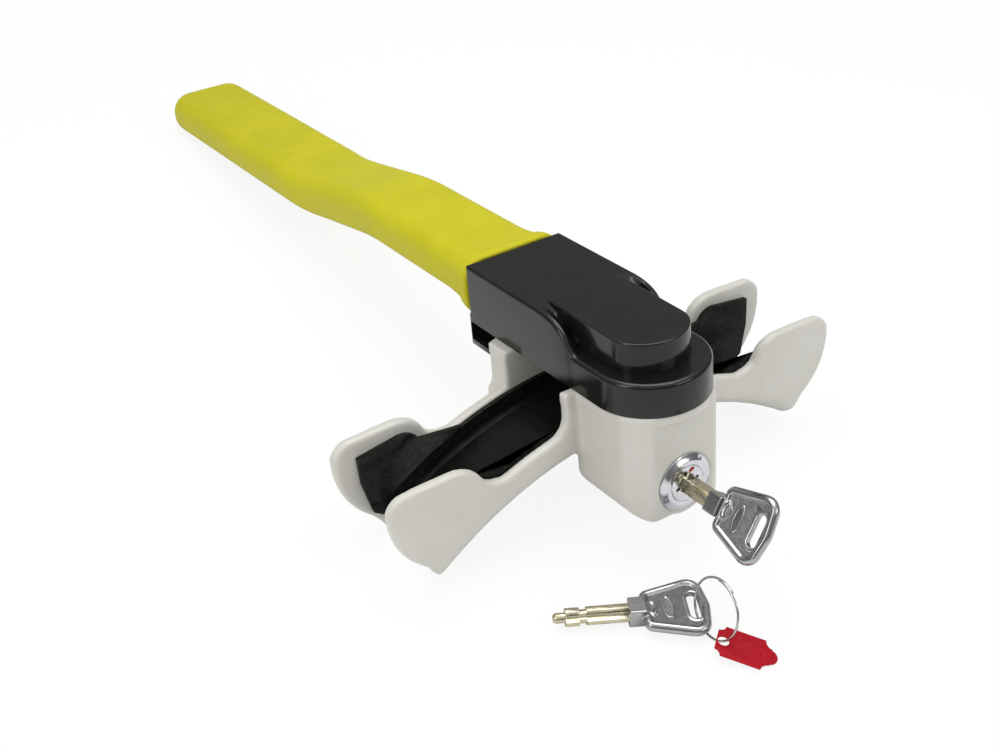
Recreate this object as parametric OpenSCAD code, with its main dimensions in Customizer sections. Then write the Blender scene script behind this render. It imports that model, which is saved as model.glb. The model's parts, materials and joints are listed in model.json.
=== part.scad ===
// Rotary steering wheel lock: a cast saddle hooks round the wheel rim, a long arm swings over it
// and a cross key throws a bolt up into the arm.
// The arm frame has its origin where the pivot axis meets the underside of the arm housing,
// +Y along the arm and +Z up the pivot. in_row_frame() moves it to the row frame, whose origin is
// the middle of the rim seat and whose +Z stands square to the table that the lock lies on.

/* [Saddle] */
// Radius of the saddle's underside, which follows the inside of the wheel rim
saddle_r = 155; // [130:1:190]
// Half angle of the saddle's arc
saddle_angle = 37.4; // [33:0.2:43]
// Height of the arm housing's underside above the saddle's lowest skin at the middle
saddle_drop = 30.6; // [27:0.2:38]
// Distance from the pivot axis to the front of the rim channel's walls
channel_front = 14.5; // [14:0.5:20]
// Clear width between the channel's walls
channel_w = 41; // [34:1:50]
// Thickness of the channel's walls and ears
wall_t = 5; // [4:0.5:6.5]
// Thickness of the channel's floor
floor_t = 4.3; // [3.5:0.1:6]
// Height of the channel's walls above the saddle's underside
wall_h = 15.3; // [13:0.1:18]
// Half width of the front wall's tall middle, which the arm closes onto
flange_half_w = 31; // [28:0.5:38]
// Width of the rear post under the arm
post_w = 60; // [44:1:70]
// Radius about the pivot axis of the rear post's back
post_r = 79.3; // [70:0.1:80]

/* [Liner] */
// Thickness of the rubber liner
liner_t = 2.2; // [1.5:0.1:3]
// Gap between the liner and the casting
liner_gap = 0.1; // [0.05:0.05:0.3]
// Strip of bare ear left outside the liner's outline
liner_inset = 6.5; // [4:0.5:9]

/* [Lock block] */
// Width of the block below the pivot
block_w = 48.4; // [44:0.2:56]
// Depth of the block below the arm housing
block_h = 50; // [48:0.5:60]
// Distance from the pivot axis forward to the block's flat face
face_y = 21.7; // [21:0.1:26]
// Width of the flat front face
face_w = 31.2; // [28:0.2:36]
// Height of the round band under the arm housing
band_h = 4.6; // [3:0.2:7]
// Depth of the lock's axis below the arm housing
lock_z = 35.7; // [35:0.1:38]

/* [Lock cylinder] */
// Radius of the chrome bezel
bezel_r = 12.85; // [12:0.05:14]
// How far the bezel's flat stands out of the block's face
bezel_proud = 1.6; // [1:0.1:2.5]
// Radius of the lock barrel
barrel_r = 10.9; // [10.2:0.1:11.4]
// Radius of the turning plug
plug_r = 6.5; // [6:0.1:7]
// Radius of the plug's visible head
plug_head_r = 8; // [7.4:0.1:9]
// Length of the barrel behind the block's face
barrel_len = 30; // [27:0.5:32]
// Offset of the cam's drive pin from the lock's axis
cam_throw = 4; // [3:0.1:4.5]
// Radius of the cam's drive pin
cam_pin_r = 1.5; // [1.2:0.1:1.8]
// Turn of the plug that throws the bolt
plug_turn = 90; // [90]

/* [Bolt and pivot] */
// Radius of the lock bolt
bolt_r = 3.5; // [3:0.1:3.8]
// Distance from the pivot axis to the bolt's axis
bolt_y = 15; // [14.4:0.1:15.2]
// Radius of the pivot shaft
shaft_r = 7; // [6:0.1:7.4]
// Radius of the shaft's head, below the bore in the block
shaft_head_r = 8.8; // [8.2:0.1:9.2]
// Wall of the pivot bush
bush_t = 2; // [1.5:0.1:3]
// Radial running clearance of shafts, bush and bolt
running_fit = 0.05; // [0.02:0.01:0.1]

/* [Arm] */
// Radius of the round eye at the arm bar's pivot end
eye_r = 20; // [19:0.1:21]
// Width of the steel arm bar
bar_w = 30; // [24:1:34]
// Thickness of the steel arm bar
bar_t = 8; // [6:0.5:10]
// Height of the bar's middle above the housing's underside, from the pivot to the bend
bar_z = 14; // [13.5:0.1:15]
// Drop of the bar at its double bend
bar_drop = 11.2; // [8:0.2:14]
// Distance from the pivot axis to the start of the double bend
bend_y = 185; // [175:1:215]
// Bend radius at the bar's middle
bend_r = 175; // [140:1:190]
// Angle of the double bend
bend_angle = 8.4; // [8:0.1:11]
// Distance from the pivot axis to the end of the grip
arm_len = 466; // [420:1:520]

/* [Grip] */
// Width of the grip sleeve near the housing
grip_w = 46.5; // [42:0.5:50]
// Width of the grip sleeve beyond the double bend
grip_end_w = 50; // [44:0.5:54]
// Thickness of the grip sleeve
grip_t = 23; // [20:0.5:26]
// Corner radius of the grip's section
grip_corner = 9; // [6:0.5:10]
// Length of the collar bead at the housing
bead_len = 8; // [5:0.5:12]
// Height of the collar bead above the sleeve
bead_proud = 2.6; // [1.5:0.1:3]

/* [Arm housing] */
// Width of the housing, which is also the diameter of its round nose
housing_w = 51; // [49:0.5:56]
// Distance from the pivot axis to the housing's back
housing_back = 95.5; // [90:0.5:110]
// Height of the housing
housing_h = 27.4; // [26:0.1:32]
// Height of the low deck round the pivot
deck_h = 14.8; // [13.5:0.1:18]
// Shell thickness of the housing and the pivot cap
shell_t = 3; // [2:0.1:3.4]
// Drop of the rear hook below the housing
hook_drop = 12; // [9:0.5:13]
// Distance from the pivot axis to the front of the rear hook
hook_front = 80; // [80:0.5:84]
// Thickness of the hook's ledge
hook_t = 3; // [2:0.1:4]
// Width of the raised pivot cap
cap_w = 35.8; // [34:0.2:40]
// Distance from the pivot axis to the pivot cap's back
cap_back = 42; // [36:0.5:50]
// Height of the cap's top above the housing's top
cap_rise = 1; // [0.5:0.1:2]
// Start of the curve that rolls the housing's top down to the deck
roll_start = 38.7; // [34:0.1:41]
// Length of that curve along the arm
roll_len = 21.7; // [16:0.1:24]

/* [Keys] */
// Diameter over the ridges of the key's shank
shank_d = 8; // [7:0.1:8.4]
// Width of the shank's ridges
ridge_w = 2.2; // [1.6:0.1:2.8]
// Length of the shank in front of the collar
shank_len = 30; // [26:0.5:31]
// Side of the key's square collar
collar_w = 8.6; // [7.5:0.1:10]
// Length of the key's collar
collar_len = 7; // [5:0.5:9]
// Length of the key's bow
bow_len = 26; // [22:0.5:30]
// Widest width of the key's bow
bow_w = 29; // [24:0.5:32]
// Thickness of the key's bow at its rim
bow_t = 4.4; // [3.4:0.1:5]
// Length of shank that stands out of the lock
key_out = 15; // [14:0.5:24]
// Lean of the key's bow from level
key_roll = 57.5; // [0:0.5:90]

/* [Hidden] */
$fn = 96;
part_fn = 48;
hull_fn = 32;
eps = 0.01;
fit = 0.3;

// Saddle places: the arc's centre lies below the pivot, and heights on it are radii about that centre
arc_z = -saddle_drop - saddle_r;
seat_r = saddle_r + floor_t + liner_gap + liner_t;
channel_in = channel_front + wall_t;
channel_out = channel_in + channel_w;
channel_back = channel_out + wall_t;
channel_mid = (channel_in + channel_out) / 2;
skin_corner = 8;
floor_corner = 5;
side_step = 0.05;
seat_z = arc_z + seat_r;

// Ear outline in polar places about the arc's centre: [radius above the underside, angle, arc radius]
ear_top = [25, saddle_angle - 9.2, 14.4];
ear_tip = [39, saddle_angle - 4.4, 10];
ear_side = [24.4, saddle_angle - 10.9, 35];
ear_low = [9.8, saddle_angle - 1.4, 3.8];
ear_foot = [wall_h, saddle_angle - 16.5];
near_ear = 0.93;
ear_mid_z = -35;
liner_end = saddle_angle - 2.4;
notch_r = 6;

// Lock places, along the lock's axis
face_front = -face_y;
bezel_base_y = face_front + 1.6;
plug_front = face_front - bezel_proud;
barrel_back = face_front + barrel_len;
plug_back = barrel_back + 0.6;
cam_t = 2.3;
cam_front = plug_back;
cam_back = cam_front + cam_t;
cam_r = cam_throw + cam_pin_r + 0.8;
cam_start = plug_turn / 2;
bolt_throw = 2 * cam_throw * sin(cam_start);
drive_rest_z = -lock_z - cam_throw * sin(cam_start);
foot_h = 9.5;
foot_w = 2 * (cam_throw + cam_pin_r + 2.6);
foot_t = 2 * (bolt_r - 0.3);
foot_low = drive_rest_z - foot_h / 2;
foot_top = foot_low + foot_h;
pocket_top = foot_top + bolt_throw + 0.6;
bolt_top = -0.6;
pocket_w = foot_w + 1;
pocket_low = foot_low - 1;
pocket_back = bolt_y + foot_t / 2 + 0.5;
block_back = channel_in;
cover_w = pocket_w + 10;
cover_low = pocket_low - 2.4;
cover_high = min(pocket_top + 5, seat_z - floor_t - liner_t - 2);
cover_t = 2;
cover_screw_r = 1.2;
screw_inset = 2.4;
collar_y = plug_front - key_out;
keyway_back = plug_back - 1.5;
core_r = shank_d / 2 - ridge_w + 0.3;
pin_r = 1.2;
pin_rows = [-14.5, -10.5, -6.5];
key_pin_low = shank_d / 2 + 0.35;
grub_r = 2;
grub_y = -8;

// Pivot places
shaft_head_t = 2.6;
shaft_head_z = -lock_z + barrel_r + 0.3;
shaft_shoulder_z = shaft_head_z + shaft_head_t;
eye_low = 1;
eye_top = 11.2;
bar_low = bar_z - bar_t / 2;
bar_top = bar_z + bar_t / 2;
bush_r = shaft_r + running_fit + bush_t;
washer_t = 1.2;
clip_t = 1.1;
washer_z = bar_top + 0.2;
clip_z = washer_z + washer_t + 0.1;
shaft_top = clip_z + clip_t + 0.9;
clip_groove = 0.9;
socket_r = bolt_r + 0.8;
socket_depth = bolt_top + bolt_throw + 1.4;
swing_limit = 110;

// Arm places: the double bend is two arcs joined by a short straight
bend_straight = (bar_drop - 2 * bend_r * (1 - cos(bend_angle))) / sin(bend_angle);
bend_len = 2 * bend_r * sin(bend_angle) + bend_straight * cos(bend_angle);
low_z = bar_z - bar_drop;
bend_steps = 8;
bar_end = arm_len - 14;
grip_start = housing_back + 0.3;
half_w = housing_w / 2;
wall_in = half_w - shell_t;
top_in = housing_h - shell_t;
cap_r = cap_w / 2 + 1.7;
cap_nose_y = 4.1;
cap_low = eye_top + 0.7;
cap_wall = 2.2;
tongue_r = cap_r - cap_wall - cap_nose_y - 0.6;
pad_w = 34;
pad_drop = 3;
pad_front = norm([flange_half_w, channel_in]) + 0.8;
pad_back = channel_out - 3.5;

// Rest on the table: the saddle's rear feet and the far end of the grip
foot_y = channel_back - 6;
grip_rest_y = arm_len - 12;
foot_z = arc_z + saddle_r * cos(saddle_angle);
grip_rest_z = low_z - grip_t / 2;
rest_pitch = atan2(grip_rest_z - foot_z, grip_rest_y - foot_y);
table_z = -(foot_y - channel_mid) * sin(rest_pitch) + (foot_z - seat_z) * cos(rest_pitch);

// Spare key, ring and tag, in the row frame and on the table
spare_tip = [-69.4, -69.1];
spare_turn = -27.6;
spare_lift = 0.4;
ring_r = 12.5;
ring_wire = 0.6;
ring_tilt = 75.9;
ring_turn = 23.6;
slot_len = 14;
slot_w = 4.6;
slot_x = shank_len + collar_len + bow_len - 6.6;
tag_len = 21.6;
tag_w = 15;
tag_t = 0.8;
tag_hole_r = 2.3;
tag_end = 2.8;
tag_notch = 2.6;
tag_scallop = 3.6;
tag_turn = -23.4;
tag_slope = 10;
tag_place = 45;

body_paint = [0.84, 0.84, 0.81];
black_gloss = [0.05, 0.05, 0.05];
black_rubber = [0.09, 0.09, 0.09];
steel = [0.62, 0.63, 0.65];
chrome = [0.86, 0.87, 0.89];
brass = [0.76, 0.68, 0.45];
grip_yellow = [0.76, 0.76, 0.12];
tag_red = [0.80, 0.05, 0.13];

// ---- frames and small helpers ----

module in_row_frame() {
    rotate([-rest_pitch, 0, 0]) translate([0, -channel_mid, -seat_z]) children();
}

// Moves a key, built with its tip at the origin and its bow towards +X, into the lock
module in_lock() {
    translate([0, collar_y + shank_len, -lock_z]) rotate([0, 0, -90]) rotate([key_roll, 0, 0]) children();
}

// Lays the spare key on the table
module on_table() {
    translate([spare_tip[0], spare_tip[1], table_z + collar_w / 2 + spare_lift]) rotate([0, 0, spare_turn]) children();
}

// Extrudes an outline in the XZ plane from y0 to y1
module xz_plate(y0, y1) {
    rotate([90, 0, 0]) translate([0, 0, -y1]) linear_extrude(y1 - y0) children();
}

// Cylinder along +Y from y0 to y1
module y_cylinder(y0, y1, r) {
    translate([0, y0, 0]) rotate([-90, 0, 0]) cylinder(h = y1 - y0, r = r);
}

// Turns an outline of [radius, y] about the saddle's arc axis, over a half angle
module on_arc(half_angle) {
    translate([0, 0, arc_z]) rotate([-90, 0, 0]) rotate([0, 0, -90 - half_angle])
        rotate_extrude(angle = 2 * half_angle, $fn = 360) children();
}

function arc_pts(c, r, a0, a1, n) = [for (i = [0:n]) let (a = a0 + (a1 - a0) * i / n) [c[0] + r * cos(a), c[1] + r * sin(a)]];
function polar_xz(above, a) = [(saddle_r + above) * sin(a), arc_z + (saddle_r + above) * cos(a)];
function flip_x(pts) = [for (i = [len(pts) - 1:-1:0]) [-pts[i][0], pts[i][1]]];
function rounded_rect(w, h, r, n) = concat(
    arc_pts([w / 2 - r, h / 2 - r], r, 0, 90, n), arc_pts([r - w / 2, h / 2 - r], r, 90, 180, n),
    arc_pts([r - w / 2, r - h / 2], r, 180, 270, n), arc_pts([w / 2 - r, r - h / 2], r, 270, 360, n));

// ---- saddle ----

// U section of the rim channel's floor as [radius about the arc's axis, y]
module channel_section() {
    wall_foot = saddle_r + floor_t + floor_corner + 0.7;
    front = channel_front + side_step;
    back = channel_back - side_step;
    polygon(concat(
        arc_pts([saddle_r + skin_corner, front + skin_corner], skin_corner, 270, 180, 8),
        arc_pts([saddle_r + skin_corner, back - skin_corner], skin_corner, 180, 90, 8),
        [[wall_foot, back], [wall_foot, channel_out + side_step]],
        arc_pts([saddle_r + floor_t + floor_corner, channel_out + side_step - floor_corner], floor_corner, 90, 180, 6),
        arc_pts([saddle_r + floor_t + floor_corner, channel_in - side_step + floor_corner], floor_corner, 180, 270, 6),
        [[wall_foot, channel_in - side_step], [wall_foot, front]]));
}

// Points up the outside of an ear, from the low corner to the foot of its inner slope
function ear_pts() = concat(
    arc_pts(polar_xz(ear_low[0], ear_low[1]), ear_low[2], -125, -45, 6),
    arc_pts(polar_xz(ear_side[0], ear_side[1]), ear_side[2], -47, -4, 10),
    arc_pts(polar_xz(ear_tip[0], ear_tip[1]), ear_tip[2], 12, 84, 7),
    arc_pts(polar_xz(ear_top[0], ear_top[1]), ear_top[2], 88, 165, 10));

// One ear with its root in the channel wall
module ear_outline() {
    polygon(concat(ear_pts(),
        [polar_xz(ear_foot[0] + 3, ear_foot[1] + 1.6), polar_xz(ear_foot[0] + 0.6, ear_foot[1]),
         polar_xz(ear_foot[0] - 2, ear_foot[1] - 1.5), polar_xz(skin_corner + 1, ear_foot[1])],
        [for (i = [1:8]) polar_xz(skin_corner + 1, ear_foot[1] + (ear_low[1] - ear_foot[1]) * i / 9)]));
}

// One whole wall of the channel: a curved band with an ear at each end and any children, joined by soft
// inner corners
module wall_outline(tall) {
    offset(r = -notch_r, $fn = 24) offset(r = notch_r, $fn = 24) {
        intersection() {
            translate([0, arc_z]) difference() {
                circle(r = saddle_r + wall_h, $fn = 180);
                circle(r = saddle_r + skin_corner + 0.5, $fn = 180);
            }
            polygon([[0, arc_z], 2 * polar_xz(saddle_r, 0.5 - saddle_angle) - [0, arc_z], 2 * polar_xz(saddle_r, saddle_angle - 0.5) - [0, arc_z]]);
        }
        both_sides() translate([0, ear_mid_z]) scale([1, tall]) translate([0, -ear_mid_z]) ear_outline();
        children();
    }
}

module both_sides() {
    children();
    mirror([1, 0, 0]) children();
}

// Tall middle of the front wall, rising to the arm housing
module flange_outline() {
    foot_x = flange_half_w + 9;
    foot_angle = asin(foot_x / (saddle_r + wall_h));
    rise_z = -band_h;
    rise = concat([polar_xz(skin_corner + 1, foot_angle + 2), polar_xz(wall_h - 0.5, foot_angle + 2)],
        arc_pts([foot_x, polar_xz(wall_h, foot_angle)[1] + 9], 9, 270, 180, 6),
        [[flange_half_w, rise_z + 3], [flange_half_w - 0.4, 0]]);
    polygon(concat(rise, flip_x(rise)));
}

// Rear post: its back is an arc about the pivot, so the arm's hook passes behind it
module rear_post() {
    low = arc_z + saddle_r + floor_t;
    intersection() {
        translate([0, 0, low]) linear_extrude(-low - fit) intersection() {
            circle(r = post_r);
            translate([-post_w / 2 - 12, channel_out]) square([post_w + 24, post_r]);
        }
        xz_plate(channel_out - eps, post_r) {
            foot_r = 4;
            side = concat([[post_w / 2 + foot_r, low], [post_w / 2 + foot_r, low + 6]],
                arc_pts([post_w / 2 + foot_r, low + 6 + foot_r], foot_r, 270, 180, 6), [[post_w / 2, 0]]);
            polygon(concat(side, flip_x(side)));
        }
    }
}

// Plan of the lock block: flat front with round corners, straight sides
module block_plan() {
    corner = 6;
    side = concat(
        arc_pts([face_w / 2 - 2, face_front + corner], corner, 270, 315, 4),
        arc_pts([block_w / 2 - corner, -face_y / 2], corner, 335, 360, 3),
        [[block_w / 2, block_back]]);
    polygon(concat(side, flip_x(side)));
}

// Front view of the lock block, with its round lower edges
module block_front() {
    corner = 11;
    polygon(concat([[block_w / 2, 0]], arc_pts([block_w / 2 - corner, corner - block_h], corner, 0, -90, 8),
        arc_pts([corner - block_w / 2, corner - block_h], corner, 270, 180, 8), [[-block_w / 2, 0]]));
}

module lock_block() {
    intersection() {
        translate([0, 0, -block_h]) linear_extrude(block_h) block_plan();
        xz_plate(face_front, block_back) block_front();
    }
    // boss round the lock, concentric with its face
    xz_plate(face_front, 0) {
        polygon(concat([[face_w / 2, -band_h]], arc_pts([0, -lock_z], face_w / 2, 0, -180, 20), [[-face_w / 2, -band_h]]));
    }
    // band under the arm housing
    translate([0, 0, -band_h]) linear_extrude(band_h) {
        circle(r = half_w - fit);
        translate([fit - half_w, 0]) square([housing_w - 2 * fit, channel_front + eps]);
    }
}

module lock_pocket() {
    // cam and bolt foot
    translate([-pocket_w / 2, barrel_back - eps, pocket_low]) cube([pocket_w, pocket_back - barrel_back, pocket_top - pocket_low]);
    translate([-pocket_w / 2 + 1, pocket_back - 1, pocket_low]) cube([pocket_w - 2, block_back - pocket_back + 1 + eps, cover_high - 3 - pocket_low]);
    translate([0, bolt_y, 0]) translate([0, 0, pocket_top - eps]) cylinder(h = -pocket_top + 1, r = bolt_r + running_fit);
    // shaft, its head, and the barrel
    translate([0, 0, shaft_head_z - 1]) cylinder(h = -shaft_head_z + 2, r = shaft_r + running_fit);
    translate([0, 0, -lock_z]) cylinder(h = shaft_shoulder_z + lock_z, r = shaft_head_r + 0.1);
    translate([0, 0, -lock_z]) {
        y_cylinder(face_front - 1, barrel_back, barrel_r + running_fit);
        y_cylinder(face_front - 1, bezel_base_y, bezel_r + running_fit);
    }
    translate([0, grub_y, -block_h - 1]) cylinder(h = block_h - lock_z + 1, r = grub_r + running_fit);
    cover_screw_places() translate([0, 0, -8]) cylinder(h = 9, r = cover_screw_r + running_fit);
}

// Puts its children at each screw of the rear cover, with +Z out of the cover
module cover_screw_places() {
    for (x = [-1, 1], z = [cover_low + screw_inset, cover_high - screw_inset])
        translate([x * (cover_w / 2 - screw_inset), block_back, z]) rotate([-90, 0, 0]) children();
}

module cast_body() color(body_paint) in_row_frame() difference() {
    union() {
        on_arc(saddle_angle) channel_section();
        xz_plate(channel_front, channel_in) wall_outline(near_ear) flange_outline();
        xz_plate(channel_out, channel_back) wall_outline(1);
        rear_post();
        lock_block();
    }
    lock_pocket();
}

// Rubber lining of the channel and of the ears' inner faces
module channel_liner() color(black_rubber) in_row_frame() {
    r0 = saddle_r + floor_t + liner_gap;
    y0 = channel_in + liner_gap;
    y1 = channel_out - liner_gap;
    corner = floor_corner;
    top = saddle_r + wall_h - 0.8;
    on_arc(liner_end) polygon(concat(
        [[top, y1]], arc_pts([r0 + corner, y1 - corner], corner, 90, 180, 6), arc_pts([r0 + corner, y0 + corner], corner, 180, 270, 6),
        [[top, y0], [top, y0 + liner_t]],
        arc_pts([r0 + corner, y0 + corner], corner - liner_t, 270, 180, 6), arc_pts([r0 + corner, y1 - corner], corner - liner_t, 180, 90, 6),
        [[top, y1 - liner_t]]));
    for (y = [y0, y1 - liner_t]) both_sides() xz_plate(y, y + liner_t) liner_ear();
    xz_plate(y0, y0 + liner_t) flange_liner();
}

module liner_ear() {
    polygon(concat(
        [for (i = [0:6]) polar_xz(floor_t + floor_corner, ear_foot[1] - 2 + (liner_end - ear_foot[1] + 2) * i / 6)],
        [polar_xz(ear_low[0] - 2, saddle_angle - 1.6), polar_xz(ear_low[0] + 5.3, saddle_angle - 0.7),
         polar_xz(ear_tip[0] - 9.6, ear_tip[1] + 1.7), polar_xz(ear_tip[0] + 1.6, ear_tip[1] - 0.4)],
        arc_pts(polar_xz(ear_top[0] - 1, ear_top[1]), ear_top[2] - liner_inset + 2, 80, 150, 8),
        [polar_xz(wall_h - 1, ear_foot[1] - 2)]));
}

module flange_liner() {
    x = flange_half_w - 2;
    a = asin(x / (saddle_r + wall_h));
    side = concat([for (i = [0:4]) polar_xz(floor_t + floor_corner, a * i / 4)],
        [polar_xz(wall_h - 0.8, a), [x, -band_h - 2], [x - 2, -band_h - 0.3]]);
    polygon(concat(side, flip_x(side)));
}

// ---- pivot ----

module pivot_shaft() color(steel) in_row_frame() difference() {
    union() {
        translate([0, 0, shaft_head_z]) cylinder(h = shaft_top - shaft_head_z, r = shaft_r);
        translate([0, 0, shaft_head_z]) cylinder(h = shaft_head_t - 0.05, r = shaft_head_r);
    }
    translate([0, 0, clip_z - 0.05]) difference() {
        cylinder(h = clip_t + 0.1, r = shaft_r + 1);
        cylinder(h = clip_t + 0.1, r = shaft_r - clip_groove);
    }
}

module pivot_washer() color(steel) in_row_frame() translate([0, 0, washer_z]) difference() {
    cylinder(h = washer_t, r = 11.5);
    translate([0, 0, -1]) cylinder(h = washer_t + 2, r = shaft_r + 0.1);
}

// Open ring sprung into the shaft's groove
module retaining_ring() color(steel) in_row_frame() translate([0, 0, clip_z]) difference() {
    cylinder(h = clip_t, r = shaft_r + 2.2);
    translate([0, 0, -1]) cylinder(h = clip_t + 2, r = shaft_r - clip_groove + 0.05);
    translate([-2, 0, -1]) cube([4, shaft_r + 4, clip_t + 2]);
}

// Nylon washer between the block and the arm's eye
module thrust_washer() color([0.93, 0.92, 0.86]) in_row_frame() translate([0, 0, 0.02]) difference() {
    cylinder(h = eye_low - 0.07, r = bolt_y - bolt_r - 0.6);
    translate([0, 0, -1]) cylinder(h = eye_low + 1, r = shaft_r + 0.15);
}

module pivot_bush() color(brass) in_row_frame() translate([0, 0, eye_low + 0.05]) difference() {
    cylinder(h = bar_top - eye_low - 0.1, r = bush_r);
    translate([0, 0, -1]) cylinder(h = bar_top + 2, r = shaft_r + running_fit);
}

// ---- lock ----

module lock_bezel() color(chrome) in_row_frame() translate([0, 0, -lock_z]) rotate([-90, 0, 0])
    rotate_extrude() {
        inner = plug_head_r + 0.1;
        polygon([[inner, bezel_base_y - 0.02], [bezel_r, bezel_base_y - 0.02], [bezel_r, face_front - 0.1],
                 [bezel_r - 2.6, plug_front - 0.1], [inner + 0.3, plug_front - 0.1], [inner, plug_front + 0.2]]);
    }

module lock_barrel() color(steel) in_row_frame() translate([0, 0, -lock_z]) difference() {
    y_cylinder(bezel_base_y + 0.02, barrel_back - 0.2, barrel_r);
    y_cylinder(face_front - 1, barrel_back + 1, plug_r + running_fit);
    for (y = pin_rows) translate([0, y, 0]) cylinder(h = barrel_r - 0.9, r = pin_r + running_fit);
    translate([0, grub_y, -barrel_r - 1]) cylinder(h = 2.6, r = grub_r + running_fit);
}

module barrel_grub_screw() color(steel) in_row_frame() translate([0, grub_y, 0]) difference() {
    translate([0, 0, 1 - block_h]) cylinder(h = block_h - 1 - lock_z - barrel_r + 1.3, r = grub_r);
    translate([0, 0, -block_h]) cylinder(h = 2.4, r = 1.05, $fn = 6);
}

module driver_pins() color(brass) in_row_frame() for (y = pin_rows)
    translate([0, y, plug_r + 0.08 - lock_z]) cylinder(h = 1.5, r = pin_r, $fn = part_fn);

module pin_springs() color(steel) in_row_frame() for (y = pin_rows)
    translate([0, y, plug_r + 1.68 - lock_z]) difference() {
        cylinder(h = barrel_r - plug_r - 2.7, r = pin_r - 0.1, $fn = part_fn);
        translate([0, 0, -1]) cylinder(h = barrel_r, r = pin_r - 0.45, $fn = part_fn);
    }

module key_pins() color(brass) in_row_frame() for (y = pin_rows)
    translate([0, y, key_pin_low - lock_z]) cylinder(h = plug_r - 0.15 - key_pin_low, r = pin_r, $fn = part_fn);

module cross_outline(grow) {
    d = shank_d + grow;
    w = ridge_w + grow;
    circle(r = core_r + grow / 2, $fn = part_fn);
    for (a = [0, 90]) rotate(a) translate([-d / 2, -w / 2]) square([d, w]);
}

module lock_plug() color(chrome) in_row_frame() translate([0, 0, -lock_z]) difference() {
    union() {
        y_cylinder(plug_front, bezel_base_y - 0.02, plug_head_r);
        y_cylinder(plug_front + 1, plug_back, plug_r);
    }
    // keyway, cut to the leaning key's own section
    translate([0, keyway_back, 0]) rotate([90, 0, 0]) rotate(key_roll)
        linear_extrude(keyway_back - plug_front + 1) cross_outline(0.4);
    for (y = pin_rows) translate([0, y, 0]) cylinder(h = plug_r + 1, r = pin_r + running_fit, $fn = part_fn);
    y_cylinder(plug_back - 1, plug_back + 1, 1);
}

// Disc on the plug's tail, with the pin that lifts the bolt
module plug_cam() color(steel) in_row_frame() translate([0, 0, -lock_z]) difference() {
    union() {
        y_cylinder(cam_front + 0.02, cam_back, cam_r);
        rotate([0, -cam_start, 0]) translate([-cam_throw, 0, 0])
            y_cylinder(cam_back - eps, bolt_y + foot_t / 2 - 0.3, cam_pin_r);
    }
    y_cylinder(cam_front - 1, cam_back + 1, 1.05);
    y_cylinder(cam_back - 1.1, cam_back + 1, 2);
}

module cam_screw() color(steel) in_row_frame() translate([0, 0, -lock_z]) {
    y_cylinder(plug_back - 0.95, cam_back - 0.5, 0.95);
    difference() {
        y_cylinder(cam_back - 1.05, cam_back - 0.05, 1.8);
        translate([-2, cam_back - 0.5, -0.25]) cube([4, 1, 0.5]);
    }
}

// Round bolt with a flat foot; the cam's pin works in the foot's slot
module lock_bolt() color(steel) in_row_frame() difference() {
    union() {
        translate([0, bolt_y, foot_low + foot_h / 2]) cylinder(h = bolt_top - foot_low - foot_h / 2, r = bolt_r);
        translate([-foot_w / 2, bolt_y - foot_t / 2, foot_low]) cube([foot_w, foot_t, foot_h]);
    }
    slot_left = -cam_throw - cam_pin_r - 0.35;
    slot_right = -cam_throw * cos(cam_start) + cam_pin_r + 0.35;
    translate([slot_left, bolt_y - foot_t, drive_rest_z - cam_pin_r - 0.35])
        cube([slot_right - slot_left, 2 * foot_t, 2 * cam_pin_r + 0.7]);
}

module rear_cover() color(body_paint) in_row_frame() difference() {
    translate([-cover_w / 2, block_back, cover_low]) cube([cover_w, cover_t, cover_high - cover_low]);
    cover_screw_places() translate([0, 0, -1]) cylinder(h = cover_t + 2, r = cover_screw_r + 0.1);
}

module cover_screws() color(steel) in_row_frame() cover_screw_places() difference() {
    union() {
        translate([0, 0, -5]) cylinder(h = 5 + cover_t, r = cover_screw_r);
        translate([0, 0, cover_t]) cylinder(h = 1.3, r = 2.1);
    }
    translate([-3, -0.3, cover_t + 0.7]) cube([6, 0.6, 1]);
}

// ---- arm ----

// Middle line of the arm as [y, z, slope], level, then the double bend, then level again
function arm_line(start, finish) = concat(
    [[start, bar_z, 0]],
    [for (i = [0:bend_steps]) let (a = bend_angle * i / bend_steps)
        [bend_y + bend_r * sin(a), bar_z - bend_r * (1 - cos(a)), a]],
    [for (i = [0:bend_steps]) let (a = bend_angle * (1 - i / bend_steps))
        [bend_y + bend_len - bend_r * sin(a), low_z + bend_r * (1 - cos(a)), a]],
    [[finish, low_z, 0]]);

// A flat bar along the arm, of the given width and thickness
module bar_shape(start, finish, w, t) {
    line = arm_line(start, finish);
    last = len(line) - 1;
    rotate([90, 0, 90]) translate([0, 0, -w / 2]) linear_extrude(w) polygon(concat(
        [for (p = line) [p[0] + t / 2 * sin(p[2]), p[1] + t / 2 * cos(p[2])]],
        [for (i = [last:-1:0]) let (p = line[i]) [p[0] - t / 2 * sin(p[2]), p[1] - t / 2 * cos(p[2])]]));
}

module arm_bar() color(steel) in_row_frame() difference() {
    union() {
        translate([0, 0, eye_low]) cylinder(h = eye_top - eye_low, r = eye_r);
        translate([0, 0, bar_low]) cylinder(h = bar_t, r = tongue_r);
        bar_shape(0, bar_end, bar_w, bar_t);
    }
    cylinder(h = bar_top + 1, r = bush_r + 0.02);
    for (a = [-swing_limit, 0, swing_limit])
        rotate(a) translate([0, bolt_y, 0]) cylinder(h = socket_depth, r = socket_r);
    housing_screw_places() cylinder(h = bar_t + 2, r = 1.6);
}

// Screws that hold the pad and the housing to the bar, +Z up
module housing_screw_places() {
    for (x = [-9, 9], y = [pad_front + 7, pad_back - 5]) translate([x, y, bar_low - 1]) children();
}

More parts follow.
